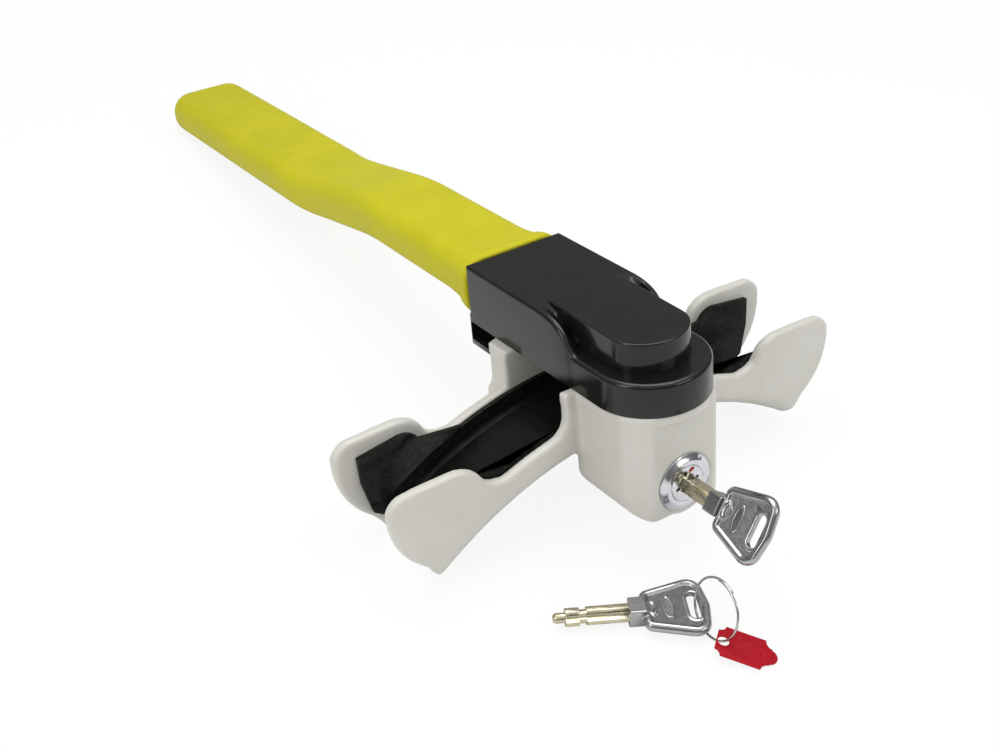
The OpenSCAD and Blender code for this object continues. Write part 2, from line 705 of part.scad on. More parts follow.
module housing_screws() color(steel) in_row_frame() housing_screw_places() {
    translate([0, 0, 1 - 3]) cylinder(h = bar_t + 5, r = 1.5);
    translate([0, 0, -4]) cylinder(h = 2, r = 2.8);
}

module rim_pad() color(black_rubber) in_row_frame() difference() {
    translate([-pad_w / 2, pad_front, -pad_drop]) cube([pad_w, pad_back - pad_front, bar_low + pad_drop - 0.05]);
    housing_screw_places() {
        translate([0, 0, -bar_low - pad_drop]) cylinder(h = bar_low + pad_drop - 1.9, r = 3);
        translate([0, 0, -3]) cylinder(h = 6, r = 1.6);
    }
}

// Plan of the housing: square back, round nose
module housing_plan(shrink) {
    circle(r = half_w - shrink);
    translate([shrink - half_w, 0]) square([housing_w - 2 * shrink, housing_back - shrink]);
}

// Side view of the housing's body, whose top rolls down to the deck
module housing_side() {
    roll_end = roll_start - roll_len;
    rotate([90, 0, 90]) translate([0, 0, -half_w]) linear_extrude(housing_w)
        polygon(concat([[housing_back, 0], [housing_back, housing_h], [roll_start, housing_h]],
            [for (i = [1:10]) let (a = 90 + 9 * i) [roll_start + roll_len * cos(a), deck_h + (housing_h - deck_h) * sin(a)]],
            [[roll_end, deck_h], [-housing_w, deck_h], [-housing_w, 0]]));
}

module cap_plan(shrink) {
    intersection() {
        union() {
            translate([0, cap_nose_y]) circle(r = cap_r - shrink);
            translate([shrink - cap_w / 2, cap_nose_y]) square([cap_w - 2 * shrink, cap_back - cap_nose_y - shrink]);
        }
        translate([shrink - cap_w / 2, -half_w]) square([cap_w - 2 * shrink, half_w + cap_back - shrink]);
    }
}

module arm_housing() color(black_gloss) in_row_frame() difference() {
    union() {
        intersection() {
            linear_extrude(housing_h) housing_plan(0);
            housing_side();
        }
        // rear hook
        translate([-half_w, hook_front, -hook_drop]) cube([housing_w, housing_back - hook_front, hook_drop + 3]);
    }
    // hollow under the deck and under the tall back
    translate([0, 0, -1]) linear_extrude(deck_h - shell_t + 1) housing_plan(shell_t);
    translate([-wall_in, roll_start + 1, 1]) cube([2 * wall_in, housing_back - shell_t - roll_start - 1, top_in - 1]);
    // well for the pivot cap
    translate([0, 0, deck_h - shell_t - 1]) linear_extrude(housing_h) cap_plan(-0.15);
    // way out for the bar
    translate([-bar_w / 2 - 0.2, roll_start, bar_low - 0.2]) cube([bar_w + 0.4, housing_back, bar_t + 0.4]);
    // hook's slot, open to the front and the sides, and the hollow above it
    translate([-housing_w, hook_front - 1, hook_t - hook_drop]) cube([2 * housing_w, housing_back - hook_front - 1, hook_drop - hook_t - eps]);
    translate([-wall_in, hook_front - 10, -1]) cube([2 * wall_in, housing_back - shell_t - hook_front + 10, 6]);
    housing_screw_places() cylinder(h = bar_t + 4, r = 1.6);
}

module pivot_cap() color(black_gloss) in_row_frame() difference() {
    translate([0, 0, cap_low]) linear_extrude(housing_h + cap_rise - cap_low) cap_plan(0);
    translate([0, 0, cap_low - 1]) linear_extrude(housing_h + cap_rise - shell_t - cap_low + 1) cap_plan(cap_wall);
    translate([-bar_w / 2 - 0.2, 0, cap_low - 1]) cube([bar_w + 0.4, cap_back + 1, bar_top + 1.1 - cap_low]);
}

// Rounded end of the grip seen from above, rounder on the left
module grip_end_plan() {
    left = 17;
    right = 10;
    polygon(concat([[grip_end_w, 0], [grip_end_w / 2, arm_len - right]],
        arc_pts([grip_end_w / 2 - right, arm_len - right], right, 0, 90, 8),
        arc_pts([left - grip_end_w / 2, arm_len - left], left, 90, 180, 10), [[-grip_end_w, 0]]));
}

// The sleeve's skin, drawn through a rounded section at each place on the arm's middle line,
// with its top and underside rolled over at the end
module grip_skin() {
    end_run = 14;
    end_edge = 6;
    end_steps = 5;
    turns = [for (i = [1:end_steps]) 90 * i / end_steps];
    line = concat(arm_line(grip_start, arm_len - end_run),
        [for (a = turns) [arm_len - end_run + end_run * sin(a), low_z, 0]]);
    last = len(line) - 1;
    section = rounded_rect(grip_w, grip_t, grip_corner, 6);
    n = len(section);
    spread = [for (i = [0:last]) 1 + (grip_end_w / grip_w - 1) * min(1, max(0, i - bend_steps) / bend_steps)];
    squeeze = concat([for (i = [0:last - end_steps]) 1],
        [for (a = turns) 1 - end_edge * (1 - cos(a)) / (grip_t / 2)]);
    polyhedron(
        [for (i = [0:last]) for (q = section) let (z = q[1] * squeeze[i])
            [q[0] * spread[i], line[i][0] + z * sin(line[i][2]), line[i][1] + z * cos(line[i][2])]],
        concat([[for (k = [n - 1:-1:0]) k]], [[for (k = [0:n - 1]) last * n + k]],
            [for (i = [0:last - 1]) for (k = [0:n - 1]) [i * n + k, i * n + (k + 1) % n, (i + 1) * n + k]],
            [for (i = [0:last - 1]) for (k = [0:n - 1]) [i * n + (k + 1) % n, (i + 1) * n + (k + 1) % n, (i + 1) * n + k]]));
}

module grip_sleeve() color(grip_yellow) in_row_frame() difference() {
    union() {
        intersection() {
            grip_skin();
            translate([0, 0, -50]) linear_extrude(120) grip_end_plan();
        }
        translate([0, grip_start + bead_len, bar_z]) rotate([90, 0, 0]) linear_extrude(bead_len)
            polygon(rounded_rect(grip_w + 2 * bead_proud, grip_t + 2 * bead_proud, grip_corner, 6));
    }
    bar_shape(grip_start - 1, bar_end + 0.1, bar_w + 0.04, bar_t + 0.04);
}

// ---- keys ----

// Shank with its tip at the origin, two rings of notches and a pointed end
module key_shank_shape() {
    rotate([90, 0, 90]) difference() {
        union() {
            translate([0, 0, 5]) linear_extrude(shank_len - 5 + 0.05) cross_outline(0);
            translate([0, 0, 1.2]) cylinder(h = shank_len - 1.2, r = core_r, $fn = part_fn);
            cylinder(h = 1.2, r1 = core_r - 0.8, r2 = core_r, $fn = part_fn);
        }
        translate([0, 0, 10.4]) difference() {
            cylinder(h = 3, r = shank_d);
            translate([0, 0, -1]) cylinder(h = 5, r = shank_d / 2 - 1.1, $fn = part_fn);
        }
    }
}

// Outline of the bow: narrow at the collar, wide near its far end
module bow_outline(shrink) {
    corner = 6.5;
    near_corner = 4.5;
    far = shank_len + collar_len + bow_len;
    near = shank_len + collar_len - 1.6;
    hull() {
        for (y = [-1, 1]) {
            translate([far - corner - 1.2, y * (bow_w / 2 - corner)]) circle(r = corner - shrink, $fn = hull_fn);
            translate([near + near_corner, y * (bow_w / 2 - 5.2 - near_corner)]) circle(r = near_corner - shrink, $fn = hull_fn);
        }
        translate([far - 11, 0]) circle(r = 11 - shrink, $fn = hull_fn);
    }
}

module key_bow_shape() {
    difference() {
        union() {
            translate([0, 0, -bow_t / 2]) linear_extrude(bow_t) bow_outline(0);
            translate([shank_len + 0.05, -collar_w / 2, -collar_w / 2]) cube([collar_len, collar_w, collar_w]);
        }
        for (s = [0, 1]) mirror([0, 0, s]) translate([0, 0, bow_t / 2 - 0.8]) linear_extrude(2) difference() {
            bow_outline(2.4);
            translate([0, -collar_w / 2 - 1]) square([shank_len + collar_len + 1.5, collar_w + 2]);
        }
        // slot for a ring
        translate([slot_x - slot_w / 2, -(slot_len - slot_w) / 2, -bow_t]) cube([slot_w, slot_len - slot_w, 2 * bow_t]);
        for (y = [-1, 1]) translate([slot_x, y * (slot_len - slot_w) / 2, -bow_t]) cylinder(h = 2 * bow_t, d = slot_w, $fn = part_fn);
    }
}

module key_shank() color(brass) in_row_frame() in_lock() key_shank_shape();
module key_bow() color(chrome) in_row_frame() in_lock() key_bow_shape();
module spare_key_shank() color(brass) on_table() key_shank_shape();
module spare_key_bow() color(chrome) on_table() key_bow_shape();

// Wire ring through the spare key's slot
ring_centre = [62.5, -9.4, -collar_w / 2 - spare_lift + ring_wire + 0.15 + ring_r * sin(ring_tilt)];
module at_ring() {
    translate(ring_centre) rotate([0, 0, ring_turn]) rotate([0, -ring_tilt, 0]) children();
}

module key_ring() color(chrome) on_table() at_ring()
    rotate_extrude() translate([ring_r, 0]) circle(r = ring_wire, $fn = 16);

// Flat tag with scalloped corners, its hole at the origin
module tag_outline() {
    shoulder = tag_len - 5.6;
    difference() {
        union() {
            translate([-tag_end, -tag_w / 2]) square([tag_end + shoulder + tag_scallop - 0.6, tag_w]);
            translate([tag_len - 3.6, 0]) circle(r = 3.6, $fn = part_fn);
        }
        for (y = [-1, 1]) {
            translate([shoulder + tag_scallop, y * tag_w / 2]) circle(r = tag_scallop, $fn = part_fn);
            translate([-tag_end, y * tag_w / 2]) circle(r = tag_notch, $fn = part_fn);
        }
        circle(r = tag_hole_r, $fn = part_fn);
    }
}

// The tag hangs on the ring a little way up from its lowest point and leans down to the table
module key_tag() color(tag_red) on_table() at_ring() translate([-ring_r * cos(tag_place), -ring_r * sin(tag_place), 0])
    rotate([0, ring_tilt, 0]) rotate([0, 0, tag_turn - ring_turn]) rotate([0, tag_slope, 0])
        translate([0, 0, -tag_t / 2]) linear_extrude(tag_t) tag_outline();

cast_body();
channel_liner();
pivot_shaft();
pivot_washer();
retaining_ring();
thrust_washer();
lock_barrel();
lock_bezel();
barrel_grub_screw();
driver_pins();
pin_springs();
rear_cover();
cover_screws();
lock_plug();
key_pins();
plug_cam();
cam_screw();
lock_bolt();
arm_bar();
pivot_bush();
arm_housing();
pivot_cap();
rim_pad();
housing_screws();
grip_sleeve();
key_shank();
key_bow();
spare_key_shank();
spare_key_bow();
key_ring();
key_tag();
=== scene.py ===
import json
import math

import bmesh
import bpy
import numpy as np
from mathutils import Matrix, Vector


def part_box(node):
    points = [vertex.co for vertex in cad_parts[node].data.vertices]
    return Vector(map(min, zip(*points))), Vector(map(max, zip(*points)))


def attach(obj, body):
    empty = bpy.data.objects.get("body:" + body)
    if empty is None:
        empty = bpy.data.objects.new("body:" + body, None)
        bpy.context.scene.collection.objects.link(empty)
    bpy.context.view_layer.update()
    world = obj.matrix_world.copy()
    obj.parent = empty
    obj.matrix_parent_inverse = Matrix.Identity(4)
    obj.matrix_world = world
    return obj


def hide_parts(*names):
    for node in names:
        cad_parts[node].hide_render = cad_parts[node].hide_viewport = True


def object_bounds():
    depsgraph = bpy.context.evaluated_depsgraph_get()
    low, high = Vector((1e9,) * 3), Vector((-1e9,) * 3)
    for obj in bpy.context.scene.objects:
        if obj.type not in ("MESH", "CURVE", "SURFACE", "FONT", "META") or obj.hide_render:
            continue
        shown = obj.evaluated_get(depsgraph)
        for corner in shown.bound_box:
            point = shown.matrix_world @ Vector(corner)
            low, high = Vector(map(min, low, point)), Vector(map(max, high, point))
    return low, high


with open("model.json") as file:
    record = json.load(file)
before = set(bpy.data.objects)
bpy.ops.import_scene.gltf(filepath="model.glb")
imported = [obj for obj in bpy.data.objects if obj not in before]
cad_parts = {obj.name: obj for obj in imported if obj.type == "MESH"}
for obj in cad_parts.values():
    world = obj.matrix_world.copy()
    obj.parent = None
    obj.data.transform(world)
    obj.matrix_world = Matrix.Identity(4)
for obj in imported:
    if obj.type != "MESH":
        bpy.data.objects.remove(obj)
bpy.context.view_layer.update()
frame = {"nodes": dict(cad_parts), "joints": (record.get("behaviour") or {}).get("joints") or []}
nodes = frame["nodes"]
scene = bpy.context.scene
print("frame loaded:", len(nodes), "nodes")

# The arm's own axes: x across, y along the arm, z up the pivot, in millimetres from the pivot
joints = {joint["name"]: joint for joint in frame["joints"]}
pivotPoint = Vector(joints["arm_swing"]["pos_m"])
pivotUp = Vector(joints["arm_swing"]["axis"]).normalized()
acrossArm = Vector((1, 0, 0))
alongArm = pivotUp.cross(acrossArm)
millimetre = 0.001


def axesMatrix(origin, x, y, z):
    matrix = Matrix((x, y, z)).transposed().to_4x4()
    matrix.translation = origin
    return matrix @ Matrix.Scale(millimetre, 4)


armAxes = axesMatrix(pivotPoint, acrossArm, alongArm, pivotUp)


# mesh helpers

def newPiece(name, points, faces):
    mesh = bpy.data.meshes.new(name)
    mesh.from_pydata([tuple(p) for p in points], [], faces)
    mesh.validate()
    piece = bpy.data.objects.new(name, mesh)
    scene.collection.objects.link(piece)
    return piece


def editMesh(piece, change):
    mesh = bmesh.new()
    mesh.from_mesh(piece.data)
    change(mesh)
    mesh.to_mesh(piece.data)
    mesh.free()


def weld(piece, gap=0.002):
    def change(mesh):
        bmesh.ops.remove_doubles(mesh, verts=mesh.verts, dist=gap)
        bmesh.ops.recalc_face_normals(mesh, faces=mesh.faces)
    editMesh(piece, change)


def copyOf(node, name, axes):
    # a CAD node's mesh as a piece of its own, in millimetres on the given axes
    piece = bpy.data.objects.new(name, nodes[node].data.copy())
    scene.collection.objects.link(piece)
    piece.data.transform(axes.inverted())
    weld(piece)
    return piece


def useModifiers(piece):
    graph = bpy.context.evaluated_depsgraph_get()
    mesh = bpy.data.meshes.new_from_object(piece.evaluated_get(graph))
    piece.modifiers.clear()
    old, piece.data = piece.data, mesh
    bpy.data.meshes.remove(old)


def remesh(piece, voxel, rounds, keepSharp=None, thin=1.0):
    modifier = piece.modifiers.new("voxels", "REMESH")
    modifier.mode = "VOXEL"
    modifier.voxel_size = voxel
    useModifiers(piece)
    soften = piece.modifiers.new("soften", "SMOOTH")
    soften.factor = 0.5
    soften.iterations = rounds
    if keepSharp:
        group = piece.vertex_groups.new(name="soft")
        for vertex in piece.data.vertices:
            group.add([vertex.index], 1 - keepSharp(vertex.co), "REPLACE")
        soften.vertex_group = "soft"
    if thin < 1:
        piece.modifiers.new("thin", "DECIMATE").ratio = thin
    useModifiers(piece)
    piece.vertex_groups.clear()


def cut(piece, tool, operation="DIFFERENCE"):
    modifier = piece.modifiers.new("cut", "BOOLEAN")
    modifier.operation = operation
    modifier.solver = "EXACT"
    modifier.object = tool
    useModifiers(piece)
    bpy.data.objects.remove(tool)


def blockPiece(low, high):
    corners = [(x, y, z) for x in (low[0], high[0]) for y in (low[1], high[1]) for z in (low[2], high[2])]
    block = newPiece("block", corners, [(0, 1, 3, 2), (4, 6, 7, 5), (0, 4, 5, 1),
                                        (2, 3, 7, 6), (0, 2, 6, 4), (1, 5, 7, 3)])
    weld(block)
    return block


def prismPiece(outline, low, high):
    count = len(outline)
    points = [(x, y, low) for x, y in outline] + [(x, y, high) for x, y in outline]
    faces = [tuple(range(count))[::-1], tuple(range(count, 2 * count))]
    faces += [(i, (i + 1) % count, (i + 1) % count + count, i + count) for i in range(count)]
    prism = newPiece("prism", points, faces)
    weld(prism)
    return prism


def roundEdges(piece, width, angle=35, segments=3):
    def change(mesh):
        bmesh.ops.dissolve_limit(mesh, angle_limit=math.radians(0.6), verts=mesh.verts, edges=mesh.edges)
    editMesh(piece, change)
    bevel = piece.modifiers.new("edges", "BEVEL")
    bevel.width = width
    bevel.segments = segments
    bevel.limit_method = "ANGLE"
    bevel.angle_limit = math.radians(angle)
    bevel.harden_normals = False
    useModifiers(piece)


def settle(piece, axes, body, material, replaced=(), sharpAngle=40):
    # into the row frame, smooth shaded, riding on its body
    piece.data.transform(axes)
    piece.data.polygons.foreach_set("use_smooth", [True] * len(piece.data.polygons))
    piece.data.set_sharp_from_angle(angle=math.radians(sharpAngle))
    piece.data.materials.clear()
    piece.data.materials.append(material)
    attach(piece, body)
    if replaced:
        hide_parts(*replaced)
    return piece


def arc(centre, radius, start, finish, steps):
    angles = np.radians(np.linspace(start, finish, steps + 1))
    return [(centre[0] + radius * math.cos(a), centre[1] + radius * math.sin(a)) for a in angles]


def smoothStep(value, low, high):
    t = min(1.0, max(0.0, (value - low) / (high - low)))
    return t * t * (3 - 2 * t)


def bump(value, centre, spread):
    return math.exp(-((value - centre) / spread) ** 2)


# shader groups

def newGroup(name, inputs, outputs):
    group = bpy.data.node_groups.new(name, "ShaderNodeTree")
    for label, kind, value in inputs:
        socket = group.interface.new_socket(name=label, in_out="INPUT", socket_type=kind)
        if value is not None:
            socket.default_value = value
    for label, kind in outputs:
        group.interface.new_socket(name=label, in_out="OUTPUT", socket_type=kind)
    return group, group.nodes.new("NodeGroupInput"), group.nodes.new("NodeGroupOutput")


def mathNode(tree, operation, first, second=None, clamp=False):
    node = tree.nodes.new("ShaderNodeMath")
    node.operation = operation
    node.use_clamp = clamp
    for socket, value in zip(node.inputs, (first, second)):
        if isinstance(value, bpy.types.NodeSocket):
            tree.links.new(value, socket)
        elif value is not None:
            socket.default_value = value
    return node.outputs[0]


def mixColour(tree, amount, first, second):
    node = tree.nodes.new("ShaderNodeMix")
    node.data_type = "RGBA"
    for socket, value in ((node.inputs[0], amount), (node.inputs[6], first), (node.inputs[7], second)):
        if isinstance(value, bpy.types.NodeSocket):
            tree.links.new(value, socket)
        else:
            socket.default_value = value
    return node.outputs[2]


def noiseNode(tree, vector, scale, detail, roughness=0.5):
    node = tree.nodes.new("ShaderNodeTexNoise")
    node.inputs["Detail"].default_value = detail
    node.inputs["Roughness"].default_value = roughness
    tree.links.new(vector, node.inputs["Vector"])
    if isinstance(scale, bpy.types.NodeSocket):
        tree.links.new(scale, node.inputs["Scale"])
    else:
        node.inputs["Scale"].default_value = scale
    return node.outputs["Fac"]


def buildGrain():
    # fine surface grain: rounded cells broken up by noise
    group, start, end = newGroup("surfaceGrain", [
        ("Vector", "NodeSocketVector", None), ("Size", "NodeSocketFloat", 0.001),
        ("Cells", "NodeSocketFloat", 0.5)],
        [("Height", "NodeSocketFloat"), ("Shade", "NodeSocketFloat")])
    vector, size, cells = (start.outputs[n] for n in ("Vector", "Size", "Cells"))
    scale = mathNode(group, "DIVIDE", 1.0, size)
    fine = noiseNode(group, vector, scale, 3.0, 0.6)
    voronoi = group.nodes.new("ShaderNodeTexVoronoi")
    group.links.new(vector, voronoi.inputs["Vector"])
    group.links.new(scale, voronoi.inputs["Scale"])
    cell = mathNode(group, "SUBTRACT", 1.0, voronoi.outputs["Distance"])
    weighted = mathNode(group, "MULTIPLY", cell, cells)
    height = mathNode(group, "ADD", fine, weighted)
    group.links.new(height, end.inputs["Height"])
    coarse = noiseNode(group, vector, mathNode(group, "MULTIPLY", scale, 0.35), 2.0)
    shade = mathNode(group, "ADD", mathNode(group, "MULTIPLY", fine, 0.5), mathNode(group, "MULTIPLY", coarse, 0.5))
    group.links.new(shade, end.inputs["Shade"])
    return group


def buildBlotches():
    # slow changes of colour and gloss over a surface
    group, start, end = newGroup("slowBlotches", [
        ("Vector", "NodeSocketVector", None), ("Size", "NodeSocketFloat", 0.03)],
        [("Mask", "NodeSocketFloat"), ("Height", "NodeSocketFloat")])
    scale = mathNode(group, "DIVIDE", 1.0, start.outputs["Size"])
    slow = noiseNode(group, start.outputs["Vector"], scale, 3.0, 0.55)
    spread = mathNode(group, "MULTIPLY", mathNode(group, "SUBTRACT", slow, 0.38), 4.0, clamp=True)
    group.links.new(spread, end.inputs["Mask"])
    group.links.new(slow, end.inputs["Height"])
    return group


def buildEdgeRubAndShade():
    # rubbed paint where hands and tools touch: on convex edges, broken up by noise; and painted shade: darker in
    # hollows, where pointiness is low
    group, start, end = newGroup("edgeRubAndHollowShade", [
        ("Vector", "NodeSocketVector", None), ("Amount", "NodeSocketFloat", 0.5),
        ("Break", "NodeSocketFloat", 0.002)],
        [("Mask", "NodeSocketFloat"), ("HollowShade", "NodeSocketFloat")])
    geometry = group.nodes.new("ShaderNodeNewGeometry")
    raised = mathNode(group, "MULTIPLY", mathNode(group, "SUBTRACT", geometry.outputs["Pointiness"], 0.52),
                      9.0, clamp=True)
    # painted shade: concave places, low in pointiness, get the hollow colour
    shadedHollow = mathNode(group, "MULTIPLY", mathNode(group, "SUBTRACT", 0.49, geometry.outputs["Pointiness"]),
                    9.0, clamp=True)
    scale = mathNode(group, "DIVIDE", 1.0, start.outputs["Break"])
    speck = noiseNode(group, start.outputs["Vector"], scale, 4.0, 0.6)
    broken = mathNode(group, "MULTIPLY", mathNode(group, "SUBTRACT", speck, 0.4), 5.0, clamp=True)
    mask = mathNode(group, "MULTIPLY", mathNode(group, "MULTIPLY", raised, broken), start.outputs["Amount"])
    group.links.new(mask, end.inputs["Mask"])
    group.links.new(mathNode(group, "MULTIPLY", shadedHollow, start.outputs["Amount"]), end.inputs["HollowShade"])
    return group


grainGroup, blotchGroup, rubAndShadeGroup = buildGrain(), buildBlotches(), buildEdgeRubAndShade()


def placeGroup(tree, group, vector, **values):
    node = tree.nodes.new("ShaderNodeGroup")
    node.node_tree = group
    tree.links.new(vector, node.inputs["Vector"])
    for label, value in values.items():
        node.inputs[label].default_value = value
    return node.outputs


def finish(name, look):
    # a material from its look: base and second colour, gloss, grain, worn edges, and painted shade in hollows
    material = bpy.data.materials.new(name)
    material.use_nodes = True
    tree = material.node_tree
    shader = tree.nodes["Principled BSDF"]
    place = tree.nodes.new("ShaderNodeTexCoord").outputs["Object"]
    stretch = look.get("stretch")
    if stretch:
        mapping = tree.nodes.new("ShaderNodeMapping")
        mapping.inputs["Scale"].default_value = stretch
        tree.links.new(place, mapping.inputs["Vector"])
        place = mapping.outputs[0]
    grain = placeGroup(tree, grainGroup, place, Size=look["grain"], Cells=look.get("cells", 0.3))
    blotch = placeGroup(tree, blotchGroup, place, Size=look["blotch"])
    rubAndShade = placeGroup(tree, rubAndShadeGroup, place, Amount=look.get("wearAndShade", 0.3), Break=look.get("wearBreak", 0.002))
    base, second, worn = (tuple(look[key]) + (1,) for key in ("base", "second", "worn"))
    colour = mixColour(tree, mathNode(tree, "MULTIPLY", blotch["Mask"], look.get("mottle", 0.6)), base, second)
    speck = mathNode(tree, "MULTIPLY", mathNode(tree, "SUBTRACT", grain["Shade"], 0.42),
                     look.get("speck", 1.0), clamp=True)
    colour = mixColour(tree, speck, colour, second)
    colour = mixColour(tree, rubAndShade["Mask"], colour, worn)
    # painted shade: the hollow colour, or the second colour where none is given, darkens concave places
    colour = mixColour(tree, rubAndShade["HollowShade"], colour, tuple(look.get("hollow", look["second"])) + (1,))
    tree.links.new(colour, shader.inputs["Base Color"])
    rough = mathNode(tree, "MULTIPLY_ADD", blotch["Mask"], look.get("roughSpread", 0.08))
    rough.node.inputs[2].default_value = look["rough"]
    tree.links.new(rough, shader.inputs["Roughness"])
    shader.inputs["Metallic"].default_value = look.get("metal", 0.0)
    shader.inputs["Coat Weight"].default_value = look.get("coat", 0.0)
    shader.inputs["Coat Roughness"].default_value = look.get("coatRough", 0.1)
    shader.inputs["Sheen Weight"].default_value = look.get("sheen", 0.0)
    shader.inputs["Sheen Roughness"].default_value = 0.5
    shader.inputs["Specular IOR Level"].default_value = look.get("specular", 0.5)
    slow = tree.nodes.new("ShaderNodeBump")
    slow.inputs["Strength"].default_value = look.get("waveStrength", 0.3)
    slow.inputs["Distance"].default_value = look.get("wave", 0.0004)
    tree.links.new(blotch["Height"], slow.inputs["Height"])
    fine = tree.nodes.new("ShaderNodeBump")
    fine.inputs["Strength"].default_value = look.get("grainStrength", 0.3)
    fine.inputs["Distance"].default_value = look.get("grainDepth", 0.0001)
    tree.links.new(grain["Height"], fine.inputs["Height"])
    tree.links.new(slow.outputs[0], fine.inputs["Normal"])
    tree.links.new(fine.outputs[0], shader.inputs["Normal"])
    return material


# each look's hollow colour is painted shade for concave places; where a look has none, its second colour is used
castPaint = finish("castPaint", {
    "base": (0.585, 0.575, 0.53), "second": (0.515, 0.5, 0.435), "worn": (0.66, 0.655, 0.60),
    "hollow": (0.44, 0.43, 0.37), "rough": 0.34, "roughSpread": 0.1, "grain": 0.0016, "grainDepth": 0.00012,
    "grainStrength": 0.35, "blotch": 0.028, "mottle": 0.35, "speck": 0.5, "wave": 0.0006, "waveStrength": 0.35,
    "wearAndShade": 0.5, "coat": 0.12, "coatRough": 0.12})
linerRubber = finish("linerRubber", {
    "base": (0.0048, 0.0048, 0.0044), "second": (0.0095, 0.0088, 0.0072), "worn": (0.03, 0.03, 0.028), "rough": 0.3,
    "roughSpread": 0.2, "grain": 0.0012, "grainDepth": 0.00008, "blotch": 0.014, "wave": 0.0022,
    "waveStrength": 0.6, "wearAndShade": 0.3, "stretch": (1, 0.35, 1), "specular": 0.11})
zincSteel = finish("zincSteel", {
    "base": (0.40, 0.40, 0.395), "second": (0.31, 0.31, 0.29), "worn": (0.66, 0.66, 0.66), "rough": 0.28,
    "roughSpread": 0.15, "metal": 1.0, "grain": 0.0005, "grainDepth": 0.00003, "blotch": 0.006, "wearAndShade": 0.4})
springSteel = finish("springSteel", {
    "base": (0.33, 0.34, 0.36), "second": (0.24, 0.24, 0.25), "worn": (0.5, 0.5, 0.5), "rough": 0.32, "metal": 1.0,
    "grain": 0.0004, "grainDepth": 0.00002, "blotch": 0.004, "wearAndShade": 0.4})
nylonWhite = finish("nylonWhite", {
    "base": (0.70, 0.69, 0.63), "second": (0.62, 0.60, 0.53), "worn": (0.75, 0.74, 0.7), "rough": 0.45,
    "grain": 0.0006, "grainDepth": 0.00004, "blotch": 0.008, "wearAndShade": 0.2})
lockChrome = finish("lockChrome", {
    "base": (0.62, 0.63, 0.65), "second": (0.50, 0.51, 0.54), "worn": (0.86, 0.86, 0.86),
    "hollow": (0.3, 0.3, 0.31), "rough": 0.1, "roughSpread": 0.08, "metal": 1.0, "grain": 0.0006,
    "grainDepth": 0.00001, "blotch": 0.005, "mottle": 0.4, "speck": 0.3, "wave": 0.00008, "wearAndShade": 0.4})
pinBrass = finish("pinBrass", {
    "base": (0.62, 0.48, 0.22), "second": (0.50, 0.36, 0.15), "worn": (0.75, 0.64, 0.38), "rough": 0.25,
    "metal": 1.0, "grain": 0.0004, "grainDepth": 0.00002, "blotch": 0.004, "wearAndShade": 0.4})
glossBlack = finish("glossBlack", {
    "base": (0.0066, 0.0064, 0.0058), "second": (0.0105, 0.0098, 0.0088), "worn": (0.03, 0.03, 0.03), "rough": 0.13,
    "roughSpread": 0.06, "grain": 0.0009, "grainDepth": 0.00002, "grainStrength": 0.2, "blotch": 0.02,
    "wave": 0.00025, "waveStrength": 0.3, "wearAndShade": 0.3, "coat": 0.0, "coatRough": 0.1, "specular": 0.4})
gripVinyl = finish("gripVinyl", {
    "base": (0.462, 0.432, 0.003), "second": (0.575, 0.53, 0.014), "worn": (0.61, 0.57, 0.05),
    "hollow": (0.36, 0.34, 0.002), "rough": 0.5, "roughSpread": 0.1, "grain": 0.0009, "grainDepth": 0.00022,
    "grainStrength": 0.4, "cells": 0.5, "blotch": 0.035, "mottle": 0.3, "speck": 1.6, "wave": 0.0009,
    "waveStrength": 0.3, "wearAndShade": 0.35, "wearBreak": 0.003, "sheen": 0.0, "specular": 0.24})
shankNickel = finish("shankNickel", {
    "base": (0.57, 0.53, 0.40), "second": (0.44, 0.385, 0.24), "worn": (0.6, 0.57, 0.46),
    "hollow": (0.25, 0.19, 0.09), "rough": 0.2, "roughSpread": 0.14, "metal": 1.0, "grain": 0.0004,
    "grainDepth": 0.00002, "blotch": 0.004, "wearAndShade": 0.6, "wearBreak": 0.0008})
bowChrome = finish("bowChrome", {
    "base": (0.42, 0.422, 0.43), "second": (0.32, 0.32, 0.335), "worn": (0.6, 0.6, 0.6),
    "hollow": (0.30, 0.30, 0.31), "rough": 0.16, "roughSpread": 0.12, "metal": 1.0, "grain": 0.0005,
    "grainDepth": 0.00003, "blotch": 0.004, "wave": 0.0001, "wearAndShade": 0.5, "wearBreak": 0.0008})
bowPanel = finish("bowPanel", {
    "base": (0.34, 0.336, 0.33), "second": (0.21, 0.207, 0.2), "worn": (0.5, 0.5, 0.49), "rough": 0.36,
    "roughSpread": 0.1, "metal": 1.0, "grain": 0.00045, "grainDepth": 0.0005, "grainStrength": 0.9, "cells": 1.0,
    "blotch": 0.003, "speck": 2.6})
ringWire = finish("ringWire", {
    "base": (0.5, 0.5, 0.49), "second": (0.4, 0.4, 0.38), "worn": (0.8, 0.8, 0.8), "rough": 0.16, "metal": 1.0,
    "grain": 0.0004, "grainDepth": 0.00001, "blotch": 0.004})
tagPlastic = finish("tagPlastic", {
    "base": (0.39, 0.002, 0.011), "second": (0.33, 0.002, 0.009), "worn": (0.62, 0.06, 0.08), "rough": 0.42,
    "roughSpread": 0.12, "grain": 0.0006, "grainDepth": 0.00006, "blotch": 0.006, "wave": 0.0004,
    "waveStrength": 0.4, "wearAndShade": 0.5, "specular": 0.14})
dotPaint = finish("dotPaint", {
    "base": (0.34, 0.012, 0.006), "second": (0.22, 0.006, 0.004), "worn": (0.5, 0.05, 0.04), "rough": 0.35,
    "grain": 0.0003, "grainDepth": 0.00003, "blotch": 0.001})
# painted shade: near-black colour standing in for the inside of the keyway's notches
holeShadePaint = finish("holeShadePaint", {
    "base": (0.008, 0.008, 0.008), "second": (0.016, 0.015, 0.012), "worn": (0.03, 0.03, 0.03), "rough": 0.6,
    "grain": 0.0003, "grainDepth": 0.00003, "blotch": 0.001})
print("materials made")

